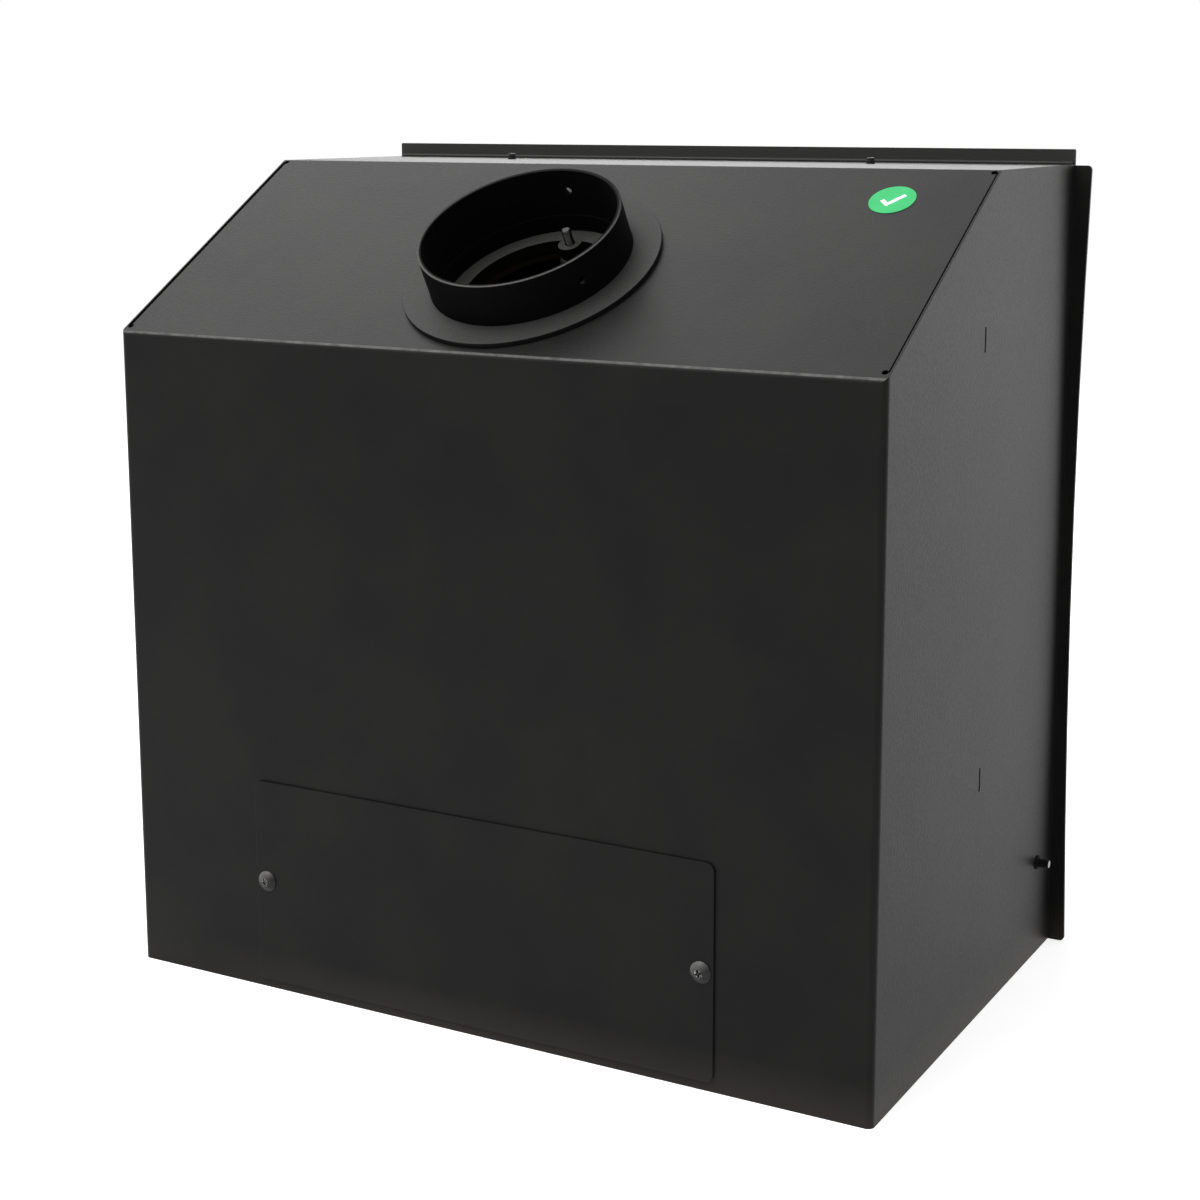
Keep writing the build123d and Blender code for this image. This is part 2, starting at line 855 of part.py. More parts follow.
def airwash_box():
    top = firebox_top - plate - inside_play
    span = (-airwash_box_half, airwash_box_half)
    depth = (inside_play, airwash_box_back)
    wall = block(span, (airwash_box_back - sheet, airwash_box_back), (airwash_box_bottom, top))
    body = wall + block(span, depth, (top - sheet, top))
    end_x = (airwash_box_half - sheet, airwash_box_half)
    for end in both_sides(block(end_x, depth, (airwash_box_bottom, top))):
        body += end
    return body


def log_guard():
    span = (-guard_half, guard_half)
    body = block(span, guard_y, (guard_low, guard_low + guard_height))
    crown = facing(Circle(guard_crown_radius), 0, guard_y, guard_low + guard_crown - guard_crown_radius)
    body += crown & block(span, guard_y, (guard_low + guard_height / 2, guard_low + guard_crown + 1))
    for step in range(guard_slots):
        x = (step - (guard_slots - 1) / 2) * guard_slot_pitch
        body -= long_hole(x, grown(guard_y, 1), guard_low + guard_slot_up, guard_slot_size)
    return body


def log_guard_brackets():
    bracket = block(guard_bracket_x, guard_bracket_y, (floor_top, guard_bracket_top))
    groove = (guard_groove_bottom, guard_bracket_top + 1)
    return both_sides(bracket - block(grown(guard_bracket_x, 1), guard_groove_y, groove))


# Ash pit
def ash_runners():
    shelf_edge, guide_inner, guide_outer = runner_x
    shelf_top = pan_bottom - slide_gap
    shelf = block((shelf_edge, guide_outer), runner_y, (shelf_top - runner_thick, shelf_top))
    guide_z = (firebox_bottom + plate, runner_guide_top)
    return both_sides(shelf + block((guide_inner, guide_outer), runner_y, guide_z))


def ash_pan():
    span = (-pan_half, pan_half)
    y = (pan_front, pan_back)
    body = block(span, y, (pan_bottom, pan_top))
    hollow_z = (pan_bottom + pan_wall, pan_top + 1)
    return body - block(grown(span, -pan_wall), grown(y, -pan_wall), hollow_z)


def ash_drawer_front():
    front = rounded_plate(drawer_x, (drawer_front, pan_front), drawer_z, drawer_corner)
    return chamfer(front.faces().sort_by(Axis.Y)[0].edges(), drawer_edge)


def ash_drawer_seal():
    x = grown(drawer_x, -drawer_seal_inset)
    z = grown(drawer_z, -drawer_seal_inset)
    y = (pan_front, face_front - seal_play)
    return rounded_frame(x, y, z, drawer_corner - 0.5, drawer_seal_width)


def ash_drawer_knob():
    return to_front(turned_knob(drawer_knob), 0, drawer_front, control_height)


# Face plate
def airwash_slot_row(y, shift):
    row = []
    for step in range(airwash_slots):
        x = (step - (airwash_slots - 1) / 2) * airwash_pitch + shift
        row.append(long_hole(x, y, airwash_z, airwash_slot_size))
    return row


def convection_slots(y):
    slots = []
    for z in convection_rows:
        for step in range(convection_count):
            x = (step - (convection_count - 1) / 2) * convection_pitch
            slots.append(long_hole(x, y, z, convection_size))
    return slots


def face_tabs():
    top_z = (face_tab_under, face_z[1])
    top_tab = block(top_tab_x, (-1, top_tab_back), top_z)
    top_tab -= bar_z(top_bolt_x, top_bolt_y, grown(top_z, 1), m6_radius + hole_play)
    side_x = (side_tab_x, side_tab_x + face_tab_thick)
    side_tab = block(side_x, (-1, side_tab_back), side_tab_z)
    side_tab -= bar_x(grown(side_x, 1), side_bolt_y, side_bolt_z, m6_radius + hole_play)
    return both_sides(top_tab) + both_sides(side_tab)


def face_plate():
    body = rounded_plate((-face_half_width, face_half_width), (face_front, 0), face_z, face_corner)
    body = chamfer(body.faces().sort_by(Axis.Y)[0].edges(), face_edge)
    cut = (face_front - 1, 1)
    body -= rounded_plate(door_opening_x, cut, door_opening_z, door_opening_corner)
    body -= rounded_plate(drawer_opening_x, cut, drawer_opening_z, drawer_opening_corner)
    body -= rounded_plate(air_window_x, cut, air_window_z, air_window_corner)
    body -= bar_y(riddle_arm_x, cut, control_height, riddle_guide_hole_radius)
    for shape in convection_slots(cut) + airwash_slot_row(cut, 0):
        body -= shape
    for tab in face_tabs():
        body += tab
    return body


# Rails for a slide, above and below it. Each has a foot on the face plate and a lip over the slide.
def slide_rails(x, slide_z, width, cover):
    lip_back = slide_front - slide_gap
    lip_front = lip_back - rail_lip
    rails = []
    for side, edge in ((-1, slide_z[0]), (1, slide_z[1])):
        outside = edge + side * (slide_gap + width)
        foot_z = sorted((edge + side * slide_gap, outside))
        lip_z = sorted((edge - side * cover, outside))
        foot = block(x, (lip_front, face_front), foot_z)
        rails.append(foot + block(x, (lip_front, lip_back), lip_z))
    return rails


def primary_air_rails():
    low = primary_slide_x[0] - primary_travel - primary_rail_end
    x = (low, primary_slide_x[1] + primary_rail_end)
    return slide_rails(x, primary_slide_z, primary_rail_width, primary_rail_cover)


def primary_air_slide():
    return block(primary_slide_x, (slide_front, slide_back), primary_slide_z)


def primary_air_knob():
    return to_front(turned_knob(primary_knob), primary_knob_x, slide_front, control_height)


def airwash_rails():
    high = airwash_slide_x[1] + airwash_travel + airwash_rail_end
    x = (airwash_slide_x[0] - airwash_rail_end, high)
    return slide_rails(x, airwash_slide_z, airwash_rail_width, airwash_rail_cover)


def airwash_slide():
    body = block(airwash_slide_x, (slide_front, slide_back), airwash_slide_z)
    for shape in airwash_slot_row((slide_front - 1, face_front), -airwash_travel):
        body -= shape
    return body


def airwash_knob():
    return to_front(turned_knob(airwash_knob_size), airwash_knob_x, slide_front, airwash_z)


# Door
def strip_screw_places():
    levels = grown(glass_z, strip_screw_out)
    return [(x, z) for z in levels for x in strip_screw_x]


def door_frame():
    y = (door_front, door_back)
    through = grown(y, 1)
    behind = door_back + 1
    body = rounded_plate((-door_half_width, door_half_width), y, door_z, door_corner)
    body = fillet(body.faces().sort_by(Axis.Y)[0].edges(), door_edge)
    boss_z = grown((spindle_z, spindle_z), boss_half_height)
    boss = rounded_plate(boss_x, y, boss_z, boss_corner)
    body += fillet(boss.faces().sort_by(Axis.Y)[0].edges(), boss_edge)
    body -= rounded_plate(window_x, through, window_z, window_corner)
    rim = body.faces().sort_by(Axis.Y)[0].inner_wires()[0].edges()
    body = chamfer(rim, window_bevel)
    pocket_x = grown(glass_x, glass_play)
    body -= rounded_plate(pocket_x, (gasket_front, behind), grown(glass_z, glass_play), 2)
    body -= rounded_plate(pocket_x, (glass_back, behind), grown(glass_z, strip_ledge), 2)
    body -= rounded_frame(seal_x, (seal_groove_front, behind), seal_z, seal_corner, seal_width)
    for x, z in strip_screw_places():
        body -= bar_y(x, (glass_back - 5.5, behind), z, m4_radius + close_play)
    body -= bar_y(spindle_x, through, spindle_z, spindle_radius + spindle_play)
    pocket_y = (cam_pocket_front, behind)
    pocket_z = (spindle_z - cam_pocket_below, spindle_z + cam_reach + cam_pocket_play)
    body -= block((cam_pocket_x, boss_x[1] + 2), pocket_y, pocket_z)
    below_cam = (spindle_z - boss_half_height - 2, spindle_z)
    return body - block((door_half_width, boss_x[1] + 2), pocket_y, below_cam)


def door_glass():
    return block(glass_x, (glass_front, glass_back), glass_z)


def glass_gasket():
    return rounded_frame(glass_x, (gasket_front, glass_front), glass_z, 3, glass_gasket_width)


def glass_strips():
    y = (glass_back, glass_back + strip_thick)
    span = (-strip_half, strip_half)
    reach = strip_ledge - 1
    strips = [
        block(span, y, (glass_z[0] - reach, glass_z[0] + strip_lap)),
        block(span, y, (glass_z[1] - strip_lap, glass_z[1] + reach)),
    ]
    for x, z in strip_screw_places():
        hole = bar_y(x, grown(y, 1), z, m4_radius + close_play)
        strips = [strip - hole for strip in strips]
    return strips


def glass_strip_screws():
    seat = glass_back + strip_thick
    screw = Rot(-90, 0, 0) * cross_screw(strip_screw_head, m4_radius, strip_screw_length)
    return [Pos(x, seat, z) * screw for x, z in strip_screw_places()]


def door_seal():
    x = grown(seal_x, -seal_play)
    z = grown(seal_z, -seal_play)
    y = (seal_groove_front, face_front - seal_play)
    return rounded_frame(x, y, z, seal_corner - seal_play, seal_width - 2 * seal_play)


def hinge_knuckles():
    knuckles = []
    leaf_y = grown((hinge_y, hinge_y), knuckle_radius)
    for level in hinge_levels:
        low = level + knuckle_lift
        z = (low, low + knuckle_length)
        body = bar_z(hinge_x, hinge_y, z, knuckle_radius)
        body += block((hinge_x, -door_half_width), leaf_y, z)
        knuckles.append(body - bar_z(hinge_x, hinge_y, grown(z, 1), pin_radius + pin_play))
    return knuckles


def hinge_blocks():
    blocks = []
    arm_x = (flange_x[1] - arm_overlap, hinge_x)
    for level in hinge_levels:
        flange_z = (level - flange_below, level + flange_above)
        body = rounded_plate(flange_x, (flange_front, face_front), flange_z, flange_corner)
        z = (level - block_height, level)
        body += block(arm_x, (hinge_y - knuckle_radius, face_front), z)
        body += bar_z(hinge_x, hinge_y, z, knuckle_radius)
        body -= bar_z(hinge_x, hinge_y, (z[0] + block_bore_floor, level + 1), pin_radius)
        for step in block_screw_places:
            hole_y = (flange_front - 1, face_front + 1)
            body -= bar_y(block_screw_x, hole_y, level + step, m5_radius + hole_play)
        blocks.append(body)
    return blocks


def hinge_pins():
    pins = []
    for level in hinge_levels:
        pin = bar_z(hinge_x, hinge_y, (level - pin_foot, level + knuckle_length), pin_radius)
        collar = bar_z(hinge_x, hinge_y, (level, level + pin_collar_height), pin_collar_radius)
        pins.append(pin + collar)
    return pins


def hinge_block_screws():
    screw = cross_screw(block_screw_head, m5_radius, block_screw_length)
    screws = []
    for level in hinge_levels:
        for step in block_screw_places:
            screws.append(to_front(screw, block_screw_x, flange_front, level + step))
    return screws


# Handle and latch
def handle_spindle():
    return bar_y(spindle_x, (lever_y[0] - 2, spindle_end), spindle_z, spindle_radius)


def handle_lever():
    hub = bar_y(spindle_x, (lever_y[0] - 1, door_front - 0.5), spindle_z, hub_radius)
    arm_x = grown((spindle_x, spindle_x), lever_half_width)
    arm = block(arm_x, lever_y, (spindle_z - lever_drop, spindle_z))
    tang_z = (spindle_z - tang_end, spindle_z - lever_drop + 1)
    tang = bar_z(spindle_x, lever_middle, tang_z, tang_radius)
    bore = bar_y(spindle_x, (lever_y[0] - 2, door_front), spindle_z, spindle_radius)
    return hub + arm + tang - bore


def handle_grip():
    side = Spline((grip_end_radius, 0), *grip_curve, (grip_top_radius, grip_length))
    bottom = Line((0, 0), (grip_end_radius, 0))
    rest = Polyline((grip_top_radius, grip_length), (0, grip_length), (0, 0))
    grip = turned(make_face(bottom + side + rest))
    ends = grip.edges().filter_by(GeomType.CIRCLE)
    grip = fillet(ends, 1.5)
    bore_low = grip_low - tang_end - close_play
    grip -= bar_z(0, 0, (bore_low, grip_length + 1), grip_bore_radius)
    return Pos(spindle_x, lever_middle, spindle_z - grip_low) * grip


def handle_cam():
    slot_length = cam_reach + cam_radius
    outline = SlotOverall(slot_length, 2 * cam_radius, rotation=90)
    cam = facing(Pos(0, (cam_reach - cam_radius) / 2) * outline, spindle_x, cam_y, spindle_z)
    return cam - bar_y(spindle_x, grown(cam_y, 1), spindle_z, spindle_radius)


def latch_catch():
    z = grown((spindle_z, spindle_z), catch_half_height)
    lip = rounded_plate((catch_x[0], catch_x[2]), catch_y, z, 3)
    return lip + block((catch_x[1], catch_x[2]), (catch_y[1] - 1, face_front), z)


def save(name, shape):
    solid = Compound(shape) if isinstance(shape, list) else shape
    export_step(solid, f"parts/{name}.step")


def main():
    os.makedirs("parts", exist_ok=True)
    makers = [
        outer_casing, base_plate, rear_access_cover, rear_cover_screws, casing_bolts,
        casing_bolt_washers, inspection_label, flue_ring, flue_collar, flue_gasket,
        flue_collar_bolts, firebox_shell, firebox_bearers, firebox_stays, firebox_floor, grate,
        riddling_plate, riddling_arm, riddling_rails, riddling_rod, riddling_knob, riddling_guide,
        side_brick_left, side_brick_right, rear_brick, baffle_plate, rear_air_duct, airwash_box,
        log_guard, log_guard_brackets, ash_runners, ash_pan, ash_drawer_front, ash_drawer_seal,
        ash_drawer_knob, face_plate, primary_air_rails, primary_air_slide, primary_air_knob,
        airwash_rails, airwash_slide, airwash_knob, door_frame, door_glass, glass_gasket,
        glass_strips, glass_strip_screws, door_seal, hinge_knuckles, hinge_blocks, hinge_pins,
        hinge_block_screws, handle_spindle, handle_lever, handle_grip, handle_cam, latch_catch,
    ]
    for maker in makers:
        save(maker.__name__, maker())


main()
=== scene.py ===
import bpy
import bmesh
import json
import math
from mathutils import Matrix, Vector, noise


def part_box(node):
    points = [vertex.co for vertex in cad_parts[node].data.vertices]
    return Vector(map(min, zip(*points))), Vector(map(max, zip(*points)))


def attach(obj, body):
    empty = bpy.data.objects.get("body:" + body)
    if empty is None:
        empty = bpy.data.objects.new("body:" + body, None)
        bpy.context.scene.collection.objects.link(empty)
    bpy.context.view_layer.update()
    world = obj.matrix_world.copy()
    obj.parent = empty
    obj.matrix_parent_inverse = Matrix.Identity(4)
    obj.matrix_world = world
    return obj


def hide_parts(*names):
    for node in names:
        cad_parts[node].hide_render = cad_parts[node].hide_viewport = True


# Inset stove seen from behind: matt black folded casing, flue collar, and the cast front with its glass door.
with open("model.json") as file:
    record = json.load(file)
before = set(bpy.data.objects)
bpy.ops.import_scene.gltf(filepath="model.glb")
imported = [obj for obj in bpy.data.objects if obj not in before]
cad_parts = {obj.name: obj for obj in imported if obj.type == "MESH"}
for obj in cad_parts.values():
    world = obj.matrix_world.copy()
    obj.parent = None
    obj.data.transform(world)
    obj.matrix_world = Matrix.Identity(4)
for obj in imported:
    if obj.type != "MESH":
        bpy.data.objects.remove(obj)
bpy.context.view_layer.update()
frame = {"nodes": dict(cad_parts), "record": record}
mm = 0.001
stoveBody = "stove_body"
print("frame loaded")


# Camera, at the photograph's angle
cameraPlace = {
    "location": (-0.6596, 1.3436, 0.55),
    "yaw": 0.497,  # radians, turned from -Y towards +X
    "pitch": 0.1713,  # radians, down
    "lens": 64.48,
    "sensor": 36.0,
    "shift": (-0.02, -0.10),
}


def addCamera(place):
    data = bpy.data.cameras.new("mainCamera")
    data.lens = place["lens"]
    data.sensor_width = place["sensor"]
    data.shift_x, data.shift_y = place["shift"]
    camera = bpy.data.objects.new("mainCamera", data)
    bpy.context.scene.collection.objects.link(camera)
    flat = math.cos(place["pitch"])
    aim = Vector((math.sin(place["yaw"]) * flat, -math.cos(place["yaw"]) * flat, -math.sin(place["pitch"])))
    camera.location = place["location"]
    camera.rotation_mode = "QUATERNION"
    camera.rotation_quaternion = aim.to_track_quat("-Z", "Y")
    bpy.context.scene.camera = camera


addCamera(cameraPlace)
print("camera placed")


# Node helpers
def linear(hexColour):
    values = []
    for start in (1, 3, 5):
        part = int(hexColour[start:start + 2], 16) / 255
        values.append(part / 12.92 if part <= 0.04045 else ((part + 0.055) / 1.055) ** 2.4)
    return (*values, 1.0)


# Adds one node. A link is given as (node, output) and anything else in sockets is a value.
def addNode(tree, kind, settings=None, sockets=None):
    node = tree.nodes.new(kind)
    for name, value in (settings or {}).items():
        setattr(node, name, value)
    for name, value in (sockets or {}).items():
        if isinstance(value, tuple) and len(value) == 2 and isinstance(value[0], bpy.types.Node):
            tree.links.new(value[0].outputs[value[1]], node.inputs[name])
        else:
            node.inputs[name].default_value = value
    return node


def newMaterial(name):
    material = bpy.data.materials.new(name)
    material.use_nodes = True
    tree = material.node_tree
    tree.nodes.clear()
    return material, tree


def finishMaterial(tree, shader):
    addNode(tree, "ShaderNodeOutputMaterial", sockets={"Surface": (shader, 0)})


# Mixes two colours, each a value or a link
def mixColour(tree, share, first, second):
    return addNode(tree, "ShaderNodeMix", {"data_type": "RGBA"}, {"Factor": share, 6: first, 7: second})


def product(tree, first, second):
    return addNode(tree, "ShaderNodeMath", {"operation": "MULTIPLY"}, {0: first, 1: second})


# How far a place or a direction reaches along a way
def reachAlong(tree, source, way):
    return addNode(tree, "ShaderNodeVectorMath", {"operation": "DOT_PRODUCT"}, {0: source, 1: way})


# Distance from an axis, from the two distances square to it
def radiusOf(tree, first, second):
    flat = addNode(tree, "ShaderNodeCombineXYZ", sockets={"X": first, "Y": second})
    return addNode(tree, "ShaderNodeVectorMath", {"operation": "LENGTH"}, {0: (flat, 0)})


def bump(tree, height, strength, distance, normal=None):
    sockets = {"Height": height, "Strength": strength, "Distance": distance}
    if normal:
        sockets["Normal"] = normal
    return addNode(tree, "ShaderNodeBump", sockets=sockets)


# A noise whose blobs are about the given size in metres
def grain(tree, coordinate, size, detail=2.0, roughness=0.5, stretch=(1, 1, 1)):
    place = addNode(tree, "ShaderNodeMapping", sockets={"Vector": (coordinate, "Object"), "Scale": stretch})
    return addNode(tree, "ShaderNodeTexNoise", sockets={
        "Vector": (place, 0), "Scale": 1 / size, "Detail": detail, "Roughness": roughness})


# Spreads a grey value between two colours
def colourRange(tree, source, dark, pale, low=0.35, high=0.65):
    ramp = addNode(tree, "ShaderNodeValToRGB", sockets={"Fac": source})
    ramp.color_ramp.elements[0].position = low
    ramp.color_ramp.elements[0].color = linear(dark)
    ramp.color_ramp.elements[1].position = high
    ramp.color_ramp.elements[1].color = linear(pale)
    return ramp


def valueRange(tree, source, low, high, fromLow=0.3, fromHigh=0.7):
    return addNode(tree, "ShaderNodeMapRange", sockets={
        "Value": source, "From Min": fromLow, "From Max": fromHigh, "To Min": low, "To Max": high})


# Outer casing's slope, worked out as in the CAD source
slopeSize = {"depth": 316 * mm, "backHeight": 412 * mm, "run": 172 * mm, "height": 515 * mm, "collarUp": 86 * mm}
slopeAngle = math.atan2(slopeSize["height"] - slopeSize["backHeight"], slopeSize["run"])
slopeAxis = Vector((0, math.sin(slopeAngle), math.cos(slopeAngle)))
slopeOrigin = Vector((
    0, slopeSize["depth"] - slopeSize["collarUp"] * math.cos(slopeAngle),
    slopeSize["backHeight"] + slopeSize["collarUp"] * math.sin(slopeAngle)))
highlightTurn = slopeAngle + math.radians(15)  # the painted highlight on the bend over the back faces 15 degrees off the slope
bendOutward = Vector((0, math.sin(highlightTurn), math.cos(highlightTurn)))
slopeDown = slopeAxis.cross(Vector((1, 0, 0)))
bendCorner = bendOutward.dot(Vector((0, slopeSize["depth"], slopeSize["backHeight"])))


# Sprayed high-temperature paint: a flat black with a fine dry grain, soft sheen at a low angle. Along the bend over
# the back a broken pale line is a painted highlight. Along the lowest edge a warm pale tone, thinning out towards +X,
# is a painted reflection of the floor, and the back of the top lip is painted paler, a painted light on its shade.
def paintMaterial(name, look):
    material, tree = newMaterial(name)
    coordinate = addNode(tree, "ShaderNodeTexCoord")
    fine = grain(tree, coordinate, look["grain"] * mm, 3.0, 0.6)
    broad = grain(tree, coordinate, look["cloud"] * mm, 3.0, 0.5)
    paint = colourRange(tree, (broad, "Fac"), look["dark"], look["pale"])
    # The broken pale line along the bend over the back is a painted highlight.
    outward = reachAlong(tree, (coordinate, "Object"), bendOutward)
    crest = bendCorner - look["crest"] * mm
    band = look["band"] * mm
    onBend = valueRange(tree, (outward, "Value"), 0.0, 1.0, crest - band, crest - 0.5 * band)
    patches = grain(tree, coordinate, look["patch"] * mm, 4.0, 0.7)
    thin = valueRange(tree, (patches, "Fac"), look["thin"][0], look["thin"][1], 0.35, 0.65)
    rubbed = product(tree, (onBend, 0), (thin, 0))
    place = addNode(tree, "ShaderNodeSeparateXYZ", sockets={"Vector": (coordinate, "Object")})
    # A warm pale tone on the lowest edge, fading towards +X, is a painted reflection of the floor.
    low = valueRange(tree, (place, "Z"), look["dust"], 0.0, 0.0, look["reflectionTop"] * mm)
    thinning = valueRange(tree, (place, "X"), 1.0, look["reflectionLeft"], look["thinning"][0] * mm, look["thinning"][1] * mm)
    paintedReflection = product(tree, (low, 0), (thinning, 0))
    paintedLit = mixColour(tree, (paintedReflection, 0), (paint, "Color"), linear(look["floorDust"]))
    # The back of the top lip is painted paler: painted light on its shade.
    aboveTop = valueRange(tree, (place, "Z"), 0.0, 1.0, look["lipFoot"][0] * mm, look["lipFoot"][1] * mm)
    behindLip = valueRange(tree, (place, "Y"), 0.0, 1.0, look["lipBack"][0] * mm, look["lipBack"][1] * mm)
    onLip = product(tree, (aboveTop, 0), (behindLip, 0))
    paintedLipLit = mixColour(tree, (onLip, 0), (paintedLit, 2), linear(look["paintedLipLight"]))
    colour = mixColour(tree, (rubbed, 0), (paintedLipLit, 2), linear(look["rubbed"]))
    roughness = valueRange(tree, (fine, "Fac"), look["roughness"][0], look["roughness"][1])
    edges = addNode(tree, "ShaderNodeBevel", {"samples": 4}, {"Radius": look["edge"] * mm})
    relief = bump(tree, (fine, "Fac"), look["relief"], 0.15 * mm, (edges, 0))
    shader = addNode(tree, "ShaderNodeBsdfPrincipled", sockets={
        "Base Color": (colour, 2), "Roughness": (roughness, 0), "Normal": (relief, 0),
        "IOR": 1.5, "Specular IOR Level": look["specular"]})
    finishMaterial(tree, shader)
    return material


casingLook = {
    "dark": "#151515", "pale": "#1b1b1a",
    "grain": 1.5,  # mm; the real grain is about 0.5 mm and wouldn't show
    "cloud": 60.0,  # mm, faint unevenness of the spraying
    "roughness": (0.38, 0.46),
    "relief": 1.0,
    "specular": 0.10,
    "edge": 0.5,  # mm, rounding of sheet edges under the paint
    "crest": 0.45, "band": 0.14,  # mm, from the bend's sharp corner in to its crest, and the depth of the band with the painted highlight
    "thin": (0.4, 1.0), "rubbed": "#5e5e5c", "patch": 9,  # mm, breaks in the painted highlight line
    "floorDust": "#383431", "dust": 0.8, "reflectionTop": 26.0,  # mm; painted reflection of the floor on the lowest edge
    "reflectionLeft": 0.25, "thinning": (60, 230),  # share of it left past the second X, in mm
    "paintedLipLight": "#363635", "lipFoot": (515.2, 515.6), "lipBack": (1.2, 1.8),  # painted light on the lip's shaded back, a thin grey tone, from these Z and Y in mm
}
innerLook = dict(casingLook, dark="#0e0e0e", pale="#161514", roughness=(0.65, 0.75))
casingPaint = paintMaterial("mattHeatPaintOnSheetSteel", casingLook)
innerPaint = paintMaterial("sootedHeatPaint", innerLook)


# Dry black paint of the flue parts. Faces that look out of the flue are painted paler, a painted light, except on the
# wall's own narrow edges, and the rim's outer edge has a painted highlight, most on the lower side.
def flueMaterial(name, look):
    material, tree = newMaterial(name)
    coordinate = addNode(tree, "ShaderNodeTexCoord")
    fromAxis = addNode(tree, "ShaderNodeVectorMath", {"operation": "SUBTRACT"}, {
        0: (coordinate, "Object"), 1: slopeOrigin})
    height = reachAlong(tree, (fromAxis, 0), slopeAxis)
    down = reachAlong(tree, (fromAxis, 0), slopeDown)
    across = reachAlong(tree, (fromAxis, 0), Vector((1, 0, 0)))
    radius = radiusOf(tree, (across, "Value"), (down, "Value"))
    inner, outer = look["wall"]
    fromInner = valueRange(tree, (radius, "Value"), 0.0, 1.0, inner - look["fade"], inner)
    toOuter = valueRange(tree, (radius, "Value"), 1.0, 0.0, outer - look["fade"], outer)
    offWall = valueRange(tree, (product(tree, (fromInner, 0), (toOuter, 0)), 0), 1.0, 0.0, 0.0, 1.0)
    # Faces that look out of the flue are painted paler: painted light.
    facing = reachAlong(tree, (addNode(tree, "ShaderNodeNewGeometry"), "Normal"), slopeAxis)
    facingOut = valueRange(tree, (facing, "Value"), 0.0, 1.0, 0.6, 0.95)
    paintedLit = product(tree, (facingOut, 0), (offWall, 0))
    # A painted highlight along the rim's outer edge, most on the lower side.
    fromRim, fromOuter = look["rimFade"], look["outerFade"]
    atRim = valueRange(tree, (height, "Value"), 0.0, 1.0, look["rim"] - fromRim[0], look["rim"] - fromRim[1])
    outerHalf = valueRange(tree, (radius, "Value"), 0.0, 1.0, outer - fromOuter[0], outer - fromOuter[1])
    lowerSide = valueRange(tree, (down, "Value"), look["upperShare"], 1.0, look["lower"][0], look["lower"][1])
    rubbed = product(tree, (product(tree, (atRim, 0), (outerHalf, 0)), 0), (lowerSide, 0))
    fine = grain(tree, coordinate, look["grain"], 3.0, 0.65)
    wall = colourRange(tree, (fine, "Fac"), look["dark"], look["pale"])
    dust = colourRange(tree, (fine, "Fac"), look["dust"][0], look["dust"][1])
    rim = colourRange(tree, (fine, "Fac"), look["worn"][0], look["worn"][1])
    paintedLitColour = mixColour(tree, (paintedLit, 0), (wall, "Color"), (dust, "Color"))
    colour = mixColour(tree, (rubbed, 0), (paintedLitColour, 2), (rim, "Color"))
    edges = addNode(tree, "ShaderNodeBevel", {"samples": 4}, {"Radius": 0.5 * mm})
    relief = bump(tree, (fine, "Fac"), 0.7, 0.2 * mm, (edges, 0))
    shader = addNode(tree, "ShaderNodeBsdfPrincipled", sockets={
        "Base Color": (colour, 2), "Roughness": 0.62, "Normal": (relief, 0),
        "IOR": 1.5, "Specular IOR Level": look["specular"]})
    finishMaterial(tree, shader)
    return material


flueLook = {
    # The paler colours are painted light on outward faces and a painted highlight on the rim.
    "dark": "#0a0a0a", "pale": "#0f0f0f", "dust": ("#3c3c3b", "#464645"), "worn": ("#4a4a49", "#5a5a59"),
    "rim": 30 * mm, "wall": (58.6 * mm, 62.5 * mm),  # height out of the slope, and radii
    "fade": 0.2 * mm, "rimFade": (0.4 * mm, 0.1 * mm), "outerFade": (1.6 * mm, 1.2 * mm),  # painted highlight's start and end
    "upperShare": 0.1, "lower": (-50 * mm, 35 * mm),  # painted highlight on the upper side, and where down the slope it grows
    "grain": 1.6 * mm, "specular": 0.015,
}
collarPaint = flueMaterial("deadBlackHeatPaintOnIron", flueLook)
# The ring's paler colours are painted light on its face.
ringPaint = flueMaterial("dryHeatPaintOnSheetSteel", dict(flueLook, dust=("#353535", "#3d3d3c"), specular=0.1))


# Sand-cast iron under matt stove paint: pebbly skin, a little rounder sheen
castLook = {
    "dark": "#141414", "pale": "#1d1c1c",
    "sand": 1.6,  # mm, moulding sand
    "lump": 9.0,  # mm, unevenness of the casting
    "roughness": (0.5, 0.62),
}


def castIron(name, look):
    material, tree = newMaterial(name)
    coordinate = addNode(tree, "ShaderNodeTexCoord")
    sand = grain(tree, coordinate, look["sand"] * mm, 4.0, 0.65)
    lumps = grain(tree, coordinate, look["lump"] * mm, 2.0, 0.5)
    colour = colourRange(tree, (lumps, "Fac"), look["dark"], look["pale"])
    roughness = valueRange(tree, (lumps, "Fac"), look["roughness"][0], look["roughness"][1])
    wide = bump(tree, (lumps, "Fac"), 0.25, 0.8 * mm)
    relief = bump(tree, (sand, "Fac"), 0.5, 0.45 * mm, (wide, 0))
    shader = addNode(tree, "ShaderNodeBsdfPrincipled", sockets={
        "Base Color": (colour, "Color"), "Roughness": (roughness, 0), "Normal": (relief, 0),
        "IOR": 1.5, "Specular IOR Level": 0.35})
    finishMaterial(tree, shader)
    return material


paintedCast = castIron("paintedSandCastIron", castLook)


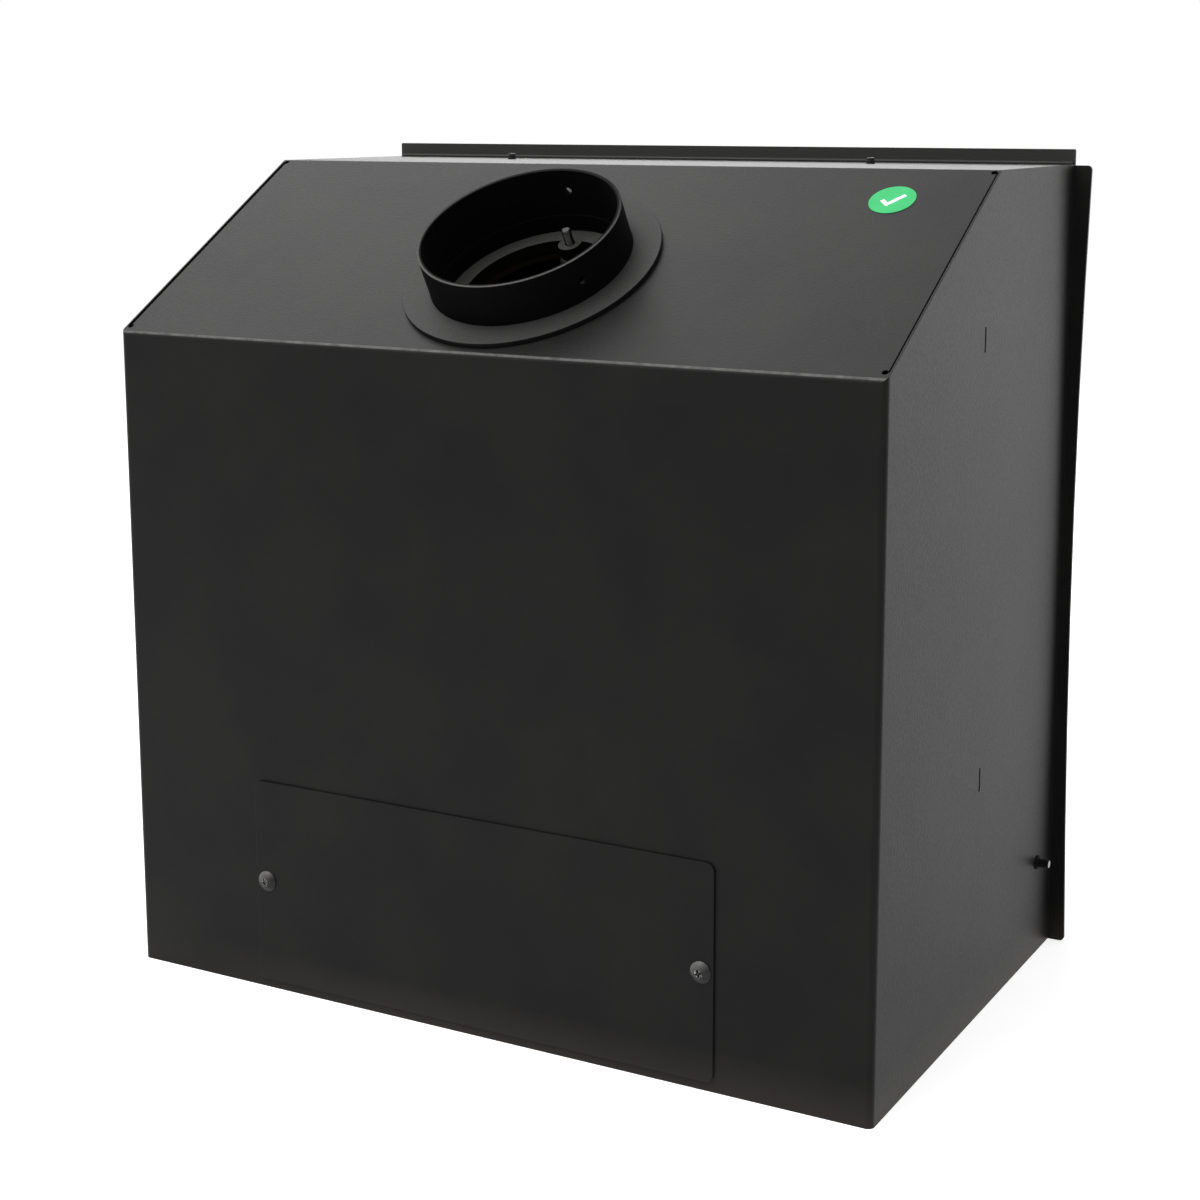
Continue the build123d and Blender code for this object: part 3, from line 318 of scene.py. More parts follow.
# Metals, from rolled, turned or plated stock
def metalMaterial(name, look):
    material, tree = newMaterial(name)
    coordinate = addNode(tree, "ShaderNodeTexCoord")
    lines = grain(tree, coordinate, look["line"] * mm, 3.0, 0.6, look["stretch"])
    blotch = grain(tree, coordinate, 7 * mm, 2.0)
    colour = colourRange(tree, (blotch, "Fac"), look["dark"], look["pale"])
    roughness = valueRange(tree, (lines, "Fac"), look["roughness"][0], look["roughness"][1])
    relief = bump(tree, (lines, "Fac"), look["relief"], 0.05 * mm)
    shader = addNode(tree, "ShaderNodeBsdfPrincipled", sockets={
        "Base Color": (colour, "Color"), "Roughness": (roughness, 0), "Normal": (relief, 0), "Metallic": 1.0})
    finishMaterial(tree, shader)
    return material


# Satin stainless steel, brushed along X: long faint lines
stainless = metalMaterial("satinStainlessSteel", {
    "dark": "#9a9996", "pale": "#a8a7a4", "line": 0.5, "stretch": (0.05, 1, 1), "roughness": (0.24, 0.36),
    "relief": 0.4})
# Zinc-plated steel: pale grey, slightly mottled passivation
zincSteel = metalMaterial("zincPlatedSteel", {
    "dark": "#7f8182", "pale": "#969796", "line": 0.7, "stretch": (1, 1, 1), "roughness": (0.34, 0.5), "relief": 0.3})
# Blackened steel screws: dark oxide with a worn sheen
blackSteel = metalMaterial("blackOxideSteel", {
    "dark": "#3a3a39", "pale": "#4b4a49", "line": 0.6, "stretch": (1, 1, 1), "roughness": (0.34, 0.5), "relief": 0.3})


# Blackened cover screws whose cross recess a driver has rubbed bright in spots. The side of each dome that looks up
# and towards +X is painted paler, a painted highlight.
screwLook = {"x": 152 * mm, "z": 71 * mm, "reach": 2.7 * mm,  # middle of each head, and the recess's size
             "dark": "#141414", "pale": "#1e1e1e", "bright": "#b4b3af",
             # The pale colour and its way give a painted highlight on the upper side of each dome.
             "dust": "#6e6d6b", "paintedLightWay": Vector((0.45, 0.2, 0.87))}


def wornScrew(look):
    material, tree = newMaterial("blackOxideSteelWithRubbedRecess")
    coordinate = addNode(tree, "ShaderNodeTexCoord")
    place = addNode(tree, "ShaderNodeSeparateXYZ", sockets={"Vector": (coordinate, "Object")})
    side = addNode(tree, "ShaderNodeMath", {"operation": "ABSOLUTE"}, {0: (place, "X")})
    across = addNode(tree, "ShaderNodeMath", {"operation": "SUBTRACT"}, {0: (side, 0), 1: look["x"]})
    above = addNode(tree, "ShaderNodeMath", {"operation": "SUBTRACT"}, {0: (place, "Z"), 1: look["z"]})
    distance = radiusOf(tree, (across, 0), (above, 0))
    near = valueRange(tree, (distance, "Value"), 1.0, 0.0, look["reach"] * 0.8, look["reach"])
    spots = grain(tree, coordinate, 0.9 * mm, 3.0, 0.7)
    chosen = valueRange(tree, (spots, "Fac"), 0.0, 1.0, 0.54, 0.62)
    rubbed = product(tree, (near, 0), (chosen, 0))
    blotch = grain(tree, coordinate, 2 * mm, 3.0)
    oxide = colourRange(tree, (blotch, "Fac"), look["dark"], look["pale"])
    # The side of each dome that looks up and towards +X is painted paler: a painted highlight.
    facing = reachAlong(tree, (addNode(tree, "ShaderNodeNewGeometry"), "Normal"), look["paintedLightWay"])
    upward = valueRange(tree, (facing, "Value"), 0.0, 1.0, 0.15, 0.9)
    paintedLit = mixColour(tree, (upward, 0), (oxide, "Color"), linear(look["dust"]))
    colour = mixColour(tree, (rubbed, 0), (paintedLit, 2), linear(look["bright"]))
    roughness = valueRange(tree, (spots, "Fac"), 0.26, 0.36)
    relief = bump(tree, (spots, "Fac"), 0.6, 0.12 * mm)
    shader = addNode(tree, "ShaderNodeBsdfPrincipled", sockets={
        "Base Color": (colour, 2), "Roughness": (roughness, 0), "Normal": (relief, 0),
        "Metallic": (rubbed, 0), "IOR": 1.5, "Specular IOR Level": 0.25})
    finishMaterial(tree, shader)
    return material


coverScrewSteel = wornScrew(screwLook)


# Vermiculite board, pressed and fired: gold and brown flakes in a pale binder, soft open surface
boardLook = {"binder": "#a98f63", "pale": "#c9b48a", "flake": 2.6, "bronze": "#7a5c31", "gold": "#d8bd7c"}


def vermiculite(look):
    material, tree = newMaterial("pressedVermiculiteBoard")
    coordinate = addNode(tree, "ShaderNodeTexCoord")
    flakes = addNode(tree, "ShaderNodeTexVoronoi", sockets={
        "Vector": (coordinate, "Object"), "Scale": 1 / (look["flake"] * mm), "Randomness": 1.0})
    tone = addNode(tree, "ShaderNodeSeparateColor", sockets={"Color": (flakes, "Color")})
    flakeColour = colourRange(tree, (tone, "Red"), look["bronze"], look["gold"], 0.1, 0.9)
    broad = grain(tree, coordinate, 14 * mm, 4.0)
    binder = colourRange(tree, (broad, "Fac"), look["binder"], look["pale"])
    share = valueRange(tree, (tone, "Green"), 0.0, 0.85, 0.35, 0.75)
    mixed = mixColour(tree, (share, 0), (binder, "Color"), (flakeColour, "Color"))
    pits = grain(tree, coordinate, 1.2 * mm, 4.0, 0.7)
    small = bump(tree, (pits, "Fac"), 0.6, 0.5 * mm)
    relief = bump(tree, (flakes, "Distance"), 0.4, 0.4 * mm, (small, 0))
    shader = addNode(tree, "ShaderNodeBsdfPrincipled", sockets={
        "Base Color": (mixed, 2), "Roughness": 0.88, "Normal": (relief, 0)})
    finishMaterial(tree, shader)
    return material


fireBoard = vermiculite(boardLook)


# Ceramic fire glass, drawn and polished: clear with a faint warm tint
glassLook = {"tint": "#f3efe6", "haze": 45 * mm, "roughness": (0.0, 0.012), "specular": 0.2}


def fireGlass(look):
    material, tree = newMaterial("clearCeramicGlass")
    coordinate = addNode(tree, "ShaderNodeTexCoord")
    haze = grain(tree, coordinate, look["haze"], 3.0)
    roughness = valueRange(tree, (haze, "Fac"), look["roughness"][0], look["roughness"][1])
    shader = addNode(tree, "ShaderNodeBsdfPrincipled", sockets={
        "Base Color": linear(look["tint"]), "Roughness": (roughness, 0), "Transmission Weight": 1.0, "IOR": 1.53,
        "Specular IOR Level": look["specular"]})
    finishMaterial(tree, shader)
    return material


doorGlass = fireGlass(glassLook)


# Knitted glass-fibre rope, graphite-coated: dull charcoal yarn with a slight graphite sheen
ropeLook = {"dark": "#1c1c1d", "pale": "#3a3a3b", "bandScale": 1 / (2.2 * mm) / 6.28, "fibre": 0.7 * mm}


def ropeMaterial(name, look):
    material, tree = newMaterial(name)
    coordinate = addNode(tree, "ShaderNodeTexCoord")
    yarn = addNode(tree, "ShaderNodeTexWave", {"wave_type": "BANDS", "bands_direction": "DIAGONAL"}, {
        "Vector": (coordinate, "Object"), "Scale": look["bandScale"], "Distortion": 1.5, "Detail": 2.0,
        "Detail Scale": 2.0})
    fibres = grain(tree, coordinate, look["fibre"], 3.0, 0.7)
    colour = colourRange(tree, (fibres, "Fac"), look["dark"], look["pale"])
    soft = bump(tree, (fibres, "Fac"), 0.6, 0.3 * mm)
    relief = bump(tree, (yarn, "Fac"), 0.4, 0.3 * mm, (soft, 0))
    shader = addNode(tree, "ShaderNodeBsdfPrincipled", sockets={
        "Base Color": (colour, "Color"), "Roughness": 0.8, "Normal": (relief, 0), "Sheen Weight": 0.15,
        "Sheen Roughness": 0.5})
    finishMaterial(tree, shader)
    return material


sealRope = ropeMaterial("graphiteGlassFibreRope", ropeLook)


# Oiled beech, turned: warm tan with long faint figure and the short dark ray flecks of beech
beechLook = {
    "dark": "#8a5a33", "pale": "#b98a58", "fleck": "#6b4022", "fleckShare": 0.55, "roughness": 0.42,
    "figureSize": 5, "fleckSize": 1.0,  # mm
}


def beech(look):
    material, tree = newMaterial("oiledBeech")
    coordinate = addNode(tree, "ShaderNodeTexCoord")
    figure = grain(tree, coordinate, look["figureSize"] * mm, 4.0, 0.55, (1, 1, 0.12))
    fleck = grain(tree, coordinate, look["fleckSize"] * mm, 1.0, 0.4, (1, 1, 0.3))
    tan = colourRange(tree, (figure, "Fac"), look["dark"], look["pale"], 0.3, 0.7)
    rays = valueRange(tree, (fleck, "Fac"), 0.0, look["fleckShare"], 0.6, 0.72)
    colour = mixColour(tree, (rays, 0), (tan, "Color"), linear(look["fleck"]))
    relief = bump(tree, (fleck, "Fac"), 0.2, 0.15 * mm)
    shader = addNode(tree, "ShaderNodeBsdfPrincipled", sockets={
        "Base Color": (colour, 2), "Roughness": look["roughness"], "Normal": (relief, 0)})
    finishMaterial(tree, shader)
    return material


gripBeech = beech(beechLook)


# Printed film label: even ink under a semi-gloss laminate
def labelFilm(name, dark, pale):
    material, tree = newMaterial(name)
    coordinate = addNode(tree, "ShaderNodeTexCoord")
    cloud = grain(tree, coordinate, 9 * mm, 2.0)
    colour = colourRange(tree, (cloud, "Fac"), dark, pale)
    shader = addNode(tree, "ShaderNodeBsdfPrincipled", sockets={
        "Base Color": (colour, "Color"), "Roughness": 0.4, "Specular IOR Level": 0.12})
    finishMaterial(tree, shader)
    return material


labelGreen = labelFilm("printedGreenFilm", "#25ae63", "#2cb66a")
labelWhite = labelFilm("printedWhiteInk", "#eef3ee", "#f4f7f4")
print("materials made")


# Finishes for the CAD nodes that keep their shape
finishes = {
    casingPaint: [
        "outer_casing", "base_plate", "rear_access_cover", "face_plate",
        "primary_air_rails", "airwash_rails", "ash_drawer_front", "hinge_blocks", "hinge_knuckles", "latch_catch"],
    collarPaint: ["flue_collar"],
    ringPaint: ["flue_ring"],
    innerPaint: [
        "firebox_shell", "firebox_bearers", "firebox_stays", "rear_air_duct", "airwash_box", "ash_runners",
        "ash_pan", "riddling_rails", "casing_bolt_washers"],
    paintedCast: [
        "firebox_floor", "grate", "riddling_plate", "riddling_arm", "log_guard", "log_guard_brackets", "door_frame"],
    zincSteel: [
        "casing_bolts", "flue_collar_bolts", "glass_strips", "glass_strip_screws",
        "riddling_rod", "handle_spindle", "handle_cam", "hinge_pins"],
    coverScrewSteel: ["rear_cover_screws"],
    blackSteel: ["hinge_block_screws"],
    stainless: [
        "primary_air_slide", "airwash_slide", "primary_air_knob", "airwash_knob", "riddling_knob",
        "riddling_guide", "ash_drawer_knob", "handle_lever"],
    fireBoard: ["side_brick_left", "side_brick_right", "rear_brick", "baffle_plate"],
    doorGlass: ["door_glass"],
    gripBeech: ["handle_grip"],
    labelGreen: ["inspection_label"],
}


def giveFinish(piece, material):
    if piece.material_slots:
        for place in piece.material_slots:
            place.material = material
    else:
        piece.data.materials.append(material)


for material, nodes in finishes.items():
    for node in nodes:
        giveFinish(frame["nodes"][node], material)
# The pane casts no shadow and is passed by diffuse light, as thin clear glass is, so the firebox is lit through it.
pane = frame["nodes"]["door_glass"]
pane.visible_shadow = False
pane.visible_diffuse = False
print("frame pieces finished")


# Mesh pieces made here
def addPiece(name, mesh, material, body):
    piece = bpy.data.objects.new(name, mesh)
    bpy.context.scene.collection.objects.link(piece)
    piece.data.materials.append(material)
    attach(piece, body)
    return piece


def meshFrom(name, points, faces):
    mesh = bpy.data.meshes.new(name)
    mesh.from_pydata([tuple(point) for point in points], [], faces)
    mesh.validate()
    mesh.update()
    for face in mesh.polygons:
        face.use_smooth = True
    return mesh


# Rounded rectangle in the plane of the door, as points with their outward direction, going round once
def doorLoop(x, z, radius, step):
    corners = [(x[1], z[1], 0), (x[0], z[1], 90), (x[0], z[0], 180), (x[1], z[0], 270)]
    spots = []
    for cornerX, cornerZ, start in corners:
        centreX = cornerX - math.copysign(radius, cornerX)
        centreZ = cornerZ - math.copysign(radius, cornerZ - sum(z) / 2)
        turns = max(3, round(radius * math.pi / 2 / step))
        for turn in range(turns + 1):
            angle = math.radians(start + 90 * turn / turns)
            way = Vector((math.cos(angle), 0, math.sin(angle)))
            spots.append((Vector((centreX, 0, centreZ)) + way * radius, way))
    loop = []
    for index, (spot, way) in enumerate(spots):
        nextSpot, nextWay = spots[(index + 1) % len(spots)]
        pieces = max(1, round((nextSpot - spot).length / step))
        for piece in range(pieces):
            share = piece / pieces
            loop.append((spot.lerp(nextSpot, share), way.lerp(nextWay, share).normalized()))
    return loop


# Braided rope laid along a closed loop. Its crossing strands stand out as rows of plaits.
def braidedLoop(name, loop, middle, half, braid):
    sides = braid["sides"]
    points, faces = [], []
    total = len(loop)
    repeats = round(total * braid["step"] / braid["pitch"])
    for index, (spot, way) in enumerate(loop):
        along = 2 * math.pi * repeats * index / total
        for side in range(sides):
            angle = 2 * math.pi * side / sides
            first = math.cos(braid["strands"] * angle / 2 + along)
            second = math.cos(braid["strands"] * angle / 2 - along)
            proud = max(abs(first), abs(second)) ** 2 - 1
            out = math.cos(angle) * (half[0] + braid["height"] * proud)
            deep = math.sin(angle) * (half[1] + braid["height"] * proud)
            squared = 1 / max(abs(math.cos(angle)), abs(math.sin(angle))) ** braid["square"]
            points.append(spot + way * out * squared + Vector((0, middle + deep * squared, 0)))
    for index in range(total):
        after = (index + 1) % total
        for side in range(sides):
            beside = (side + 1) % sides
            faces.append((index * sides + side, after * sides + side, after * sides + beside, index * sides + beside))
    return meshFrom(name, points, faces)


# A rope that fills the box of a CAD node and replaces it
def ropeInNode(name, node, body, braid):
    low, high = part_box(node)
    depth = high[1] - low[1]
    width = braid["width"]
    x = (low[0] + width / 2, high[0] - width / 2)
    z = (low[2] + width / 2, high[2] - width / 2)
    loop = doorLoop(x, z, braid["corner"], braid["step"])
    mesh = braidedLoop(name, loop, (low[1] + high[1]) / 2, (width / 2, depth / 2), braid)
    rope = addPiece(name, mesh, sealRope, body)
    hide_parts(node)


doorRope = {"width": 8.4 * mm, "corner": 7.5 * mm, "step": 1.2 * mm, "pitch": 8 * mm,
            "strands": 8, "height": 0.55 * mm, "sides": 24, "square": 0.5}
drawerTape = {"width": 5 * mm, "corner": 1.5 * mm, "step": 1.0 * mm, "pitch": 4 * mm,
              "strands": 6, "height": 0.2 * mm, "sides": 20, "square": 0.7}
glassTape = {"width": 8 * mm, "corner": 4 * mm, "step": 1.0 * mm, "pitch": 3 * mm,
             "strands": 8, "height": 0.12 * mm, "sides": 20, "square": 0.8}
ropeInNode("doorSealRope", "door_seal", "door", doorRope)
ropeInNode("drawerSealTape", "ash_drawer_seal", "ash_drawer", drawerTape)
ropeInNode("glassGasketTape", "glass_gasket", "door", glassTape)
print("seals made")


# Slope's own frame: x across, y down the slope, z out of it
slope = Matrix.Translation(slopeOrigin) @ Matrix((Vector((1, 0, 0)), slopeDown, slopeAxis)).transposed().to_4x4()


# Flat die-cut ring under the flue collar, with three ears
gasketLook = {"inner": 51 * mm, "outer": 62.5 * mm, "low": -22.5 * mm, "thick": 2 * mm, "round": 0.4 * mm,
              "earCircle": 45 * mm, "ear": 7.5 * mm, "hole": 3.1 * mm, "angles": (90, 210, 330),
              "ringPoints": 240, "holePoints": 24}


def flueGasket(look):
    curve = bpy.data.curves.new("flueGasketRing", "CURVE")
    curve.dimensions = "2D"
    curve.fill_mode = "BOTH"
    curve.extrude = look["thick"] / 2 - look["round"]
    curve.bevel_depth = look["round"]
    curve.offset = -look["round"]
    ears = [
        Vector((-math.cos(math.radians(angle)), -math.sin(math.radians(angle)))) * look["earCircle"]
        for angle in look["angles"]]
    steps = look["ringPoints"]
    rims = [[], []]
    for step in range(steps):
        way = Vector((math.cos(2 * math.pi * step / steps), math.sin(2 * math.pi * step / steps)))
        inner = look["inner"]
        for ear in ears:
            onWay = ear.dot(way)
            gap = look["ear"] ** 2 - (ear.length_squared - onWay ** 2)
            if onWay > 0 and gap > 0:
                inner = min(inner, onWay - math.sqrt(gap))
        rims[0].append(way * look["outer"])
        rims[1].append(way * inner)
    for ear in ears:
        turns = [2 * math.pi * step / look["holePoints"] for step in range(look["holePoints"])]
        rims.append([ear + Vector((math.cos(t), math.sin(t))) * look["hole"] for t in turns])
    for rim in rims:
        spline = curve.splines.new("POLY")
        spline.points.add(len(rim) - 1)
        for place, spot in zip(spline.points, rim):
            place.co = (spot[0], spot[1], 0, 1)
        spline.use_cyclic_u = True
    ring = bpy.data.objects.new("flueGasketRing", curve)
    bpy.context.scene.collection.objects.link(ring)
    ring.matrix_world = slope @ Matrix.Translation((0, 0, look["low"] + look["thick"] / 2))
    curve.materials.append(sealRope)
    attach(ring, stoveBody)
    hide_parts("flue_gasket")


flueGasket(gasketLook)


# Tick on the round label, in place of lettering
tickLook = {"centre": (-200.5 * mm, -81 * mm), "lift": 0.3 * mm, "thick": 0.06 * mm, "width": 2.6 * mm,
            "points": ((-6.0, -0.6), (-1.8, -5.0), (6.6, 5.0))}


def tickMark(look):
    half = look["width"] / 2
    first, bend, last = [Vector((x * mm, y * mm)) for x, y in look["points"]]
    firstWay = (bend - first).normalized()
    lastWay = (last - bend).normalized()
    firstSide = Vector((-firstWay.y, firstWay.x))
    lastSide = Vector((-lastWay.y, lastWay.x))
    mitre = (firstSide + lastSide).normalized()
    mitre = mitre * half / mitre.dot(firstSide)
    outline = [first - firstSide * half, bend - mitre, last - lastSide * half,
               last + lastSide * half, bend + mitre, first + firstSide * half]
    shape = bmesh.new()
    # On the slope, right is -x and up is -y for someone behind the stove.
    centre = Vector(look["centre"])
    low = [shape.verts.new((centre.x - p.x, centre.y - p.y, look["lift"])) for p in outline]
    faces = [shape.faces.new((low[0], low[1], low[4], low[5])), shape.faces.new((low[1], low[2], low[3], low[4]))]
    grown = bmesh.ops.extrude_face_region(shape, geom=faces)
    for item in grown["geom"]:
        if isinstance(item, bmesh.types.BMVert):
            item.co.z += look["thick"]
    bmesh.ops.recalc_face_normals(shape, faces=shape.faces)
    shape.transform(slope)
    mesh = bpy.data.meshes.new("labelTick")
    shape.to_mesh(mesh)
    shape.free()
    addPiece("labelTick", mesh, labelWhite, stoveBody)


tickMark(tickLook)
print("label and gasket made")


# Copies of CAD nodes with their edges rounded, as paint, casting sand and pressing leave them. Radii in mm.
edgeRadii = {
    "rear_access_cover": 0.2, "base_plate": 0.4, "face_plate": 0.4, "flue_ring": 0.3,
    "primary_air_rails": 0.4, "airwash_rails": 0.4, "ash_drawer_front": 0.7, "hinge_blocks": 0.5,
    "hinge_knuckles": 0.5, "primary_air_slide": 0.4, "airwash_slide": 0.4, "handle_lever": 0.6,
    "glass_strips": 0.25, "door_frame": 0.5, "ash_pan": 0.4, "grate": 0.9, "log_guard": 0.9,
    "log_guard_brackets": 0.5, "riddling_plate": 0.7, "riddling_arm": 0.6, "firebox_floor": 0.9,
}
edgeRules = {"join": 0.002 * mm, "flat": 0.5, "sharp": 35.0, "segments": 2}  # flat and sharp are degrees
nodeBodies = {node: body for body, nodes in frame["record"]["behaviour"]["bodies"].items() for node in nodes}


# The node's faces joined up, its sharp edges rounded
def roundedShape(node, radius):
    shape = bmesh.new()
    shape.from_mesh(frame["nodes"][node].data)
    bmesh.ops.remove_doubles(shape, verts=shape.verts, dist=edgeRules["join"])
    bmesh.ops.dissolve_limit(
        shape, angle_limit=math.radians(edgeRules["flat"]), verts=shape.verts, edges=shape.edges, delimit={"NORMAL"})
    limit = math.radians(edgeRules["sharp"])
    sharp = [edge for edge in shape.edges if len(edge.link_faces) == 2 and edge.calc_face_angle() > limit]
    bmesh.ops.bevel(
        shape, geom=sharp, offset=radius * mm, segments=edgeRules["segments"], profile=0.5, affect="EDGES",
        clamp_overlap=False)
    bmesh.ops.triangulate(shape, faces=[face for face in shape.faces if len(face.verts) > 4])
    return shape


# Puts a reshaped copy in a node's place, with the node's finish
def standIn(node, shape, ending):
    words = node.split("_")
    name = words[0] + "".join(word.capitalize() for word in words[1:]) + ending
    mesh = bpy.data.meshes.new(name)
    shape.to_mesh(mesh)
    shape.free()
    for face in mesh.polygons:
        face.use_smooth = True
    piece = addPiece(name, mesh, frame["nodes"][node].material_slots[0].material, nodeBodies[node])
    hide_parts(node)
    return piece


for node, radius in edgeRadii.items():
    piece = standIn(node, roundedShape(node, radius), "Edged")
    weighting = piece.modifiers.new("faceWeights", "WEIGHTED_NORMAL")
    weighting.keep_sharp = True
print("edges rounded")


# Pressed boards: cut into a grid, faces slightly uneven, arrises crumbled here and there
boardNodes = ("side_brick_left", "side_brick_right", "rear_brick", "baffle_plate")
boardShape = {
    "arris": 1.4,  # mm, like the edge radii above
    "grid": 5 * mm,
    "uneven": 0.25 * mm, "unevenSize": 7 * mm,
    "chip": 1.6 * mm, "chipSize": 9 * mm, "chipShift": (7, 3, 5), "chipFloor": 0.15, "reach": 4 * mm,
}


def pressedBoard(node, look):
    shape = roundedShape(node, look["arris"])
    low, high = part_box(node)
    for axis in range(3):
        normal = [0, 0, 0]
        normal[axis] = 1
        steps = round((high[axis] - low[axis]) / look["grid"])
        for step in range(1, steps):
            point = [0, 0, 0]
            point[axis] = low[axis] + (high[axis] - low[axis]) * step / steps
            everything = shape.verts[:] + shape.edges[:] + shape.faces[:]
            bmesh.ops.bisect_plane(shape, geom=everything, plane_co=point, plane_no=normal, dist=0.001 * mm)
    shape.normal_update()
    moves = []
    for vert in shape.verts:
        gaps = sorted(min(vert.co[axis] - low[axis], high[axis] - vert.co[axis]) for axis in range(3))
        nearEdge = max(0, 1 - gaps[1] / look["reach"])
        fine = noise.noise(vert.co / look["unevenSize"]) * 0.5 + 0.5
        crumb = max(0, noise.noise(vert.co / look["chipSize"] + Vector(look["chipShift"])) - look["chipFloor"])
        moves.append(vert.normal * -(fine * look["uneven"] + crumb * nearEdge * look["chip"]))
    for vert, move in zip(shape.verts, moves):
        vert.co += move
    return shape


for node in boardNodes:
    standIn(node, pressedBoard(node, boardShape), "Board")
print("boards made")


# Threaded M6 bolts, in place of the plain shanks
boltLook = {
    "radius": 3.0 * mm, "root": 2.5 * mm, "pitch": 1.0 * mm, "tip": 0.7 * mm,
    "across": 10 * mm, "head": 4 * mm, "flats": 0.88, "chamfer": 0.93,  # shares of the head's height and width
    "around": 36, "rise": 0.125 * mm,  # points in a turn and height between rows
}


# One bolt on the local Z axis, with the underside of its head at zero. Its end face takes the second material.
def addBolt(shape, place, length, look):
    around = look["around"]
    rings = round(length / look["rise"])
    rows = []
    for ring in range(rings + 1):
        z = length * ring / rings
        tipLimit = look["radius"] - max(0, z - (length - look["tip"]))
        row = []
        for side in range(around):
            turn = side / around
            phase = (z / look["pitch"] - turn) % 1
            radius = look["root"] + (look["radius"] - look["root"]) * abs(2 * phase - 1)
            radius = min(radius, tipLimit)
            angle = 2 * math.pi * turn
            row.append(shape.verts.new(place @ Vector((radius * math.cos(angle), radius * math.sin(angle), z))))
        rows.append(row)
    for low, high in zip(rows, rows[1:]):
        for side in range(around):
            beside = (side + 1) % around
            shape.faces.new((low[side], low[beside], high[beside], high[side])).smooth = True
    shape.faces.new(rows[-1]).material_index = 1
    shape.faces.new(list(reversed(rows[0])))
    corner = look["across"] / 2 / math.cos(math.radians(30))
    levels = []
    for z, size in ((0, 1), (-look["head"] * look["flats"], 1), (-look["head"], look["chamfer"])):
        turns = [math.radians(60 * side) for side in range(6)]
        levels.append([
            shape.verts.new(place @ Vector((corner * size * math.cos(turn), corner * size * math.sin(turn), z)))
            for turn in turns])
    shape.faces.new(levels[0])
    shape.faces.new(list(reversed(levels[-1])))
    for high, low in zip(levels, levels[1:]):
        for side in range(6):
            beside = (side + 1) % 6
            shape.faces.new((low[side], low[beside], high[beside], high[side]))


def boltPiece(name, node, places, lengths, materials, look):
    shape = bmesh.new()
    for place, length in zip(places, lengths):
        addBolt(shape, place, length, look)
    mesh = bpy.data.meshes.new(name)
    shape.to_mesh(mesh)
    shape.free()
    piece = addPiece(name, mesh, materials[0], stoveBody)
    piece.data.materials.append(materials[1])
    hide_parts(node)


topBolt = {"x": 134.6 * mm, "y": 44 * mm, "from": 509.7 * mm, "length": 9.1 * mm}
sideBolt = {"from": 250.7 * mm, "y": 32 * mm, "z": 63 * mm, "length": 13.6 * mm}
casingPlaces = [Matrix.Translation((side * topBolt["x"], topBolt["y"], topBolt["from"])) for side in (-1, 1)]
casingPlaces += [
    Matrix.Translation((side * sideBolt["from"], sideBolt["y"], sideBolt["z"]))
    @ Matrix.Rotation(side * math.pi / 2, 4, "Y")
    for side in (-1, 1)]
flueBolt = {"circle": 45 * mm, "from": -26.5 * mm, "length": 24 * mm, "angles": (90, 210, 330)}
fluePlaces = [
    slope @ Matrix.Translation((
        -flueBolt["circle"] * math.cos(math.radians(angle)), -flueBolt["circle"] * math.sin(math.radians(angle)),
        flueBolt["from"]))
    for angle in flueBolt["angles"]]
boltPiece("casingBoltsThreaded", "casing_bolts", casingPlaces, [topBolt["length"]] * 2 + [sideBolt["length"]] * 2,
          (innerPaint, zincSteel), boltLook)
boltPiece("flueBoltsThreaded", "flue_collar_bolts", fluePlaces, [flueBolt["length"]] * 3, (blackSteel, zincSteel),
          boltLook)
print("bolts made")


# Studio: pale floor, pale surroundings, five soft boxes. Floor and surroundings are brighter where they are looked
# at, directly or in a gloss or glass, than they light the stove.
floorLook = {"reach": 30.0, "matt": "#d6d6d6", "glow": 0.77}
worldLook = {"lighting": 0.35, "seen": 1.0}


# One for rays from the camera, a glossy surface or glass, and nought for the rest
def lookedAt(tree):
    path = addNode(tree, "ShaderNodeLightPath")
    seen = addNode(tree, "ShaderNodeMath", {"operation": "MAXIMUM"}, {
        0: (path, "Is Camera Ray"), 1: (path, "Is Glossy Ray")})
    return addNode(tree, "ShaderNodeMath", {"operation": "MAXIMUM"}, {
        0: (seen, 0), 1: (path, "Is Transmission Ray")})


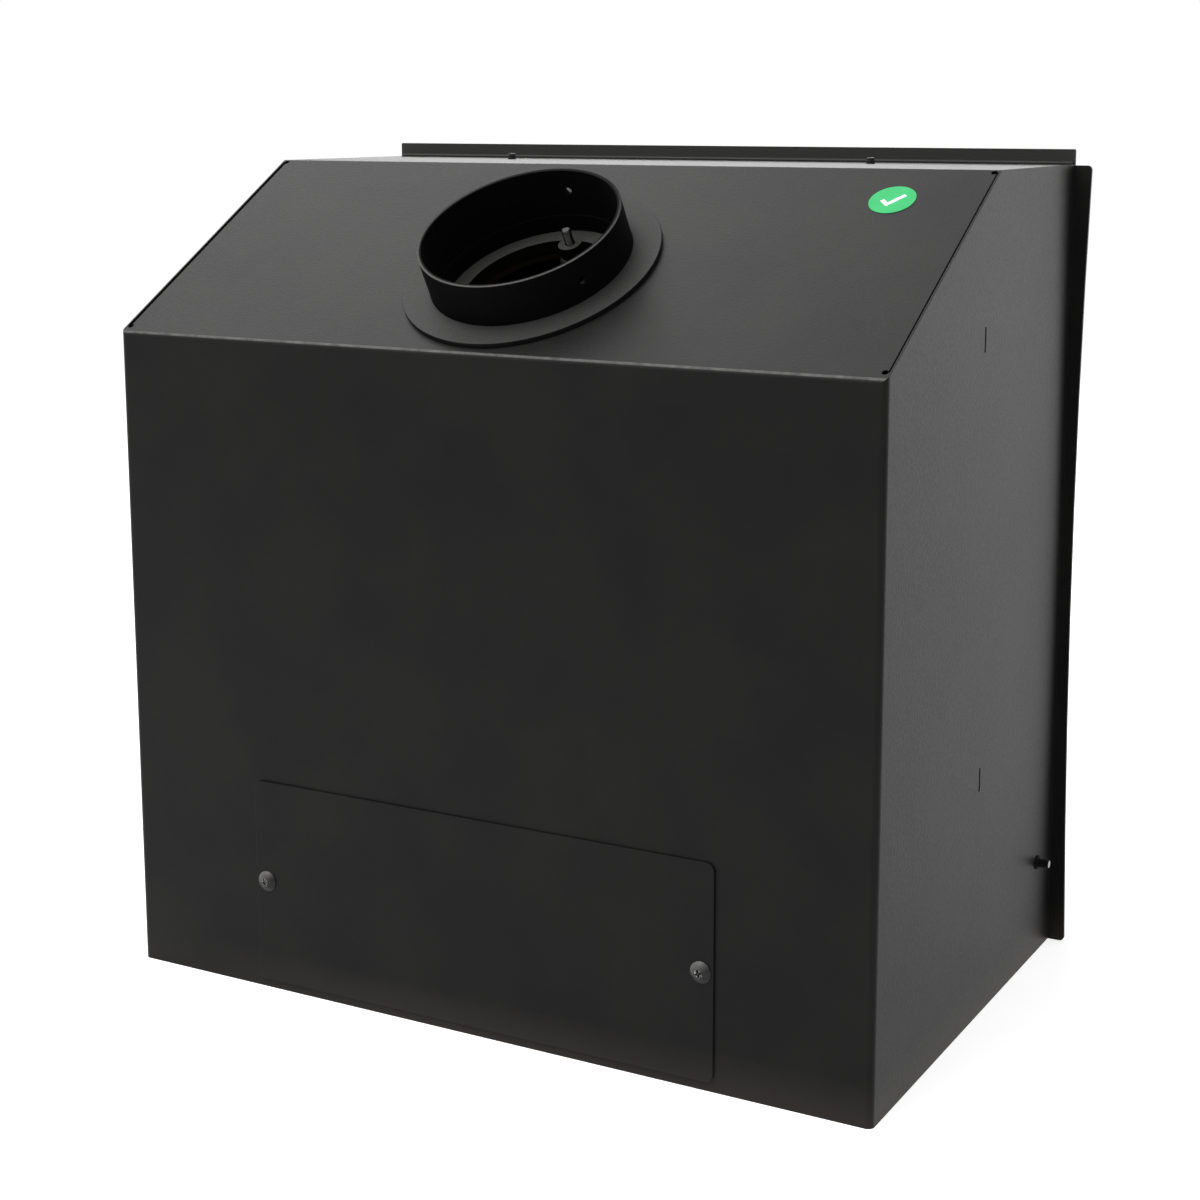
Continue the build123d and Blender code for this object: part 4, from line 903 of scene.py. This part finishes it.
def addFloor(look):
    mesh = bpy.data.meshes.new("studioFloor")
    reach = look["reach"]
    corners = [(-reach, -reach, 0), (reach, -reach, 0), (reach, reach, 0), (-reach, reach, 0)]
    mesh.from_pydata(corners, [], [(0, 1, 2, 3)])
    floor = bpy.data.objects.new("studioFloor", mesh)
    bpy.context.scene.collection.objects.link(floor)
    material, tree = newMaterial("paleFloor")
    matt = addNode(tree, "ShaderNodeBsdfDiffuse", sockets={"Color": linear(look["matt"])})
    glow = addNode(tree, "ShaderNodeEmission", sockets={"Color": (1, 1, 1, 1), "Strength": look["glow"]})
    lit = addNode(tree, "ShaderNodeAddShader", sockets={0: (matt, 0), 1: (glow, 0)})
    either = addNode(tree, "ShaderNodeMixShader", sockets={0: (lookedAt(tree), 0), 1: (matt, 0), 2: (lit, 0)})
    finishMaterial(tree, either)
    mesh.materials.append(material)


def addWorld(look):
    world = bpy.data.worlds.new("paleStudio")
    world.use_nodes = True
    tree = world.node_tree
    tree.nodes.clear()
    strength = addNode(tree, "ShaderNodeMapRange", sockets={
        "Value": (lookedAt(tree), 0), "To Min": look["lighting"], "To Max": look["seen"]})
    sky = addNode(tree, "ShaderNodeBackground", sockets={"Color": (1, 1, 1, 1), "Strength": (strength, 0)})
    addNode(tree, "ShaderNodeOutputWorld", sockets={"Surface": (sky, 0)})
    bpy.context.scene.world = world


softBoxes = {
    "topBox": {"place": (1.15, -0.35, 2.3), "size": (2.0, 2.0), "watts": 32},
    "overheadStrip": {"place": (0.5, 1.1, 2.3), "size": (1.8, 0.7), "watts": 35},
    "leftBox": {"place": (-1.5, -1.9, 0.75), "size": (1.5, 1.5), "watts": 13},
    "frontBox": {"place": (1.2, -2.4, 1.4), "size": (1.6, 1.0), "watts": 16},
    "backBox": {"place": (0.95, 1.7, 1.7), "size": (0.8, 0.6), "watts": 7},
}
boxTarget = (0, 0.15, 0.25)  # all boxes face the stove's middle


def addSoftBoxes(boxes):
    target = Vector(boxTarget)
    for name, box in boxes.items():
        lamp = bpy.data.lights.new(name, "AREA")
        lamp.shape = "RECTANGLE"
        lamp.size, lamp.size_y = box["size"]
        lamp.energy = box["watts"]
        light = bpy.data.objects.new(name, lamp)
        bpy.context.scene.collection.objects.link(light)
        light.location = box["place"]
        light.rotation_mode = "QUATERNION"
        light.rotation_quaternion = (target - Vector(box["place"])).to_track_quat("-Z", "Y")
        light.visible_camera = False


addFloor(floorLook)
addWorld(worldLook)
addSoftBoxes(softBoxes)
bpy.context.scene.view_settings.view_transform = "Standard"
print("studio lit")
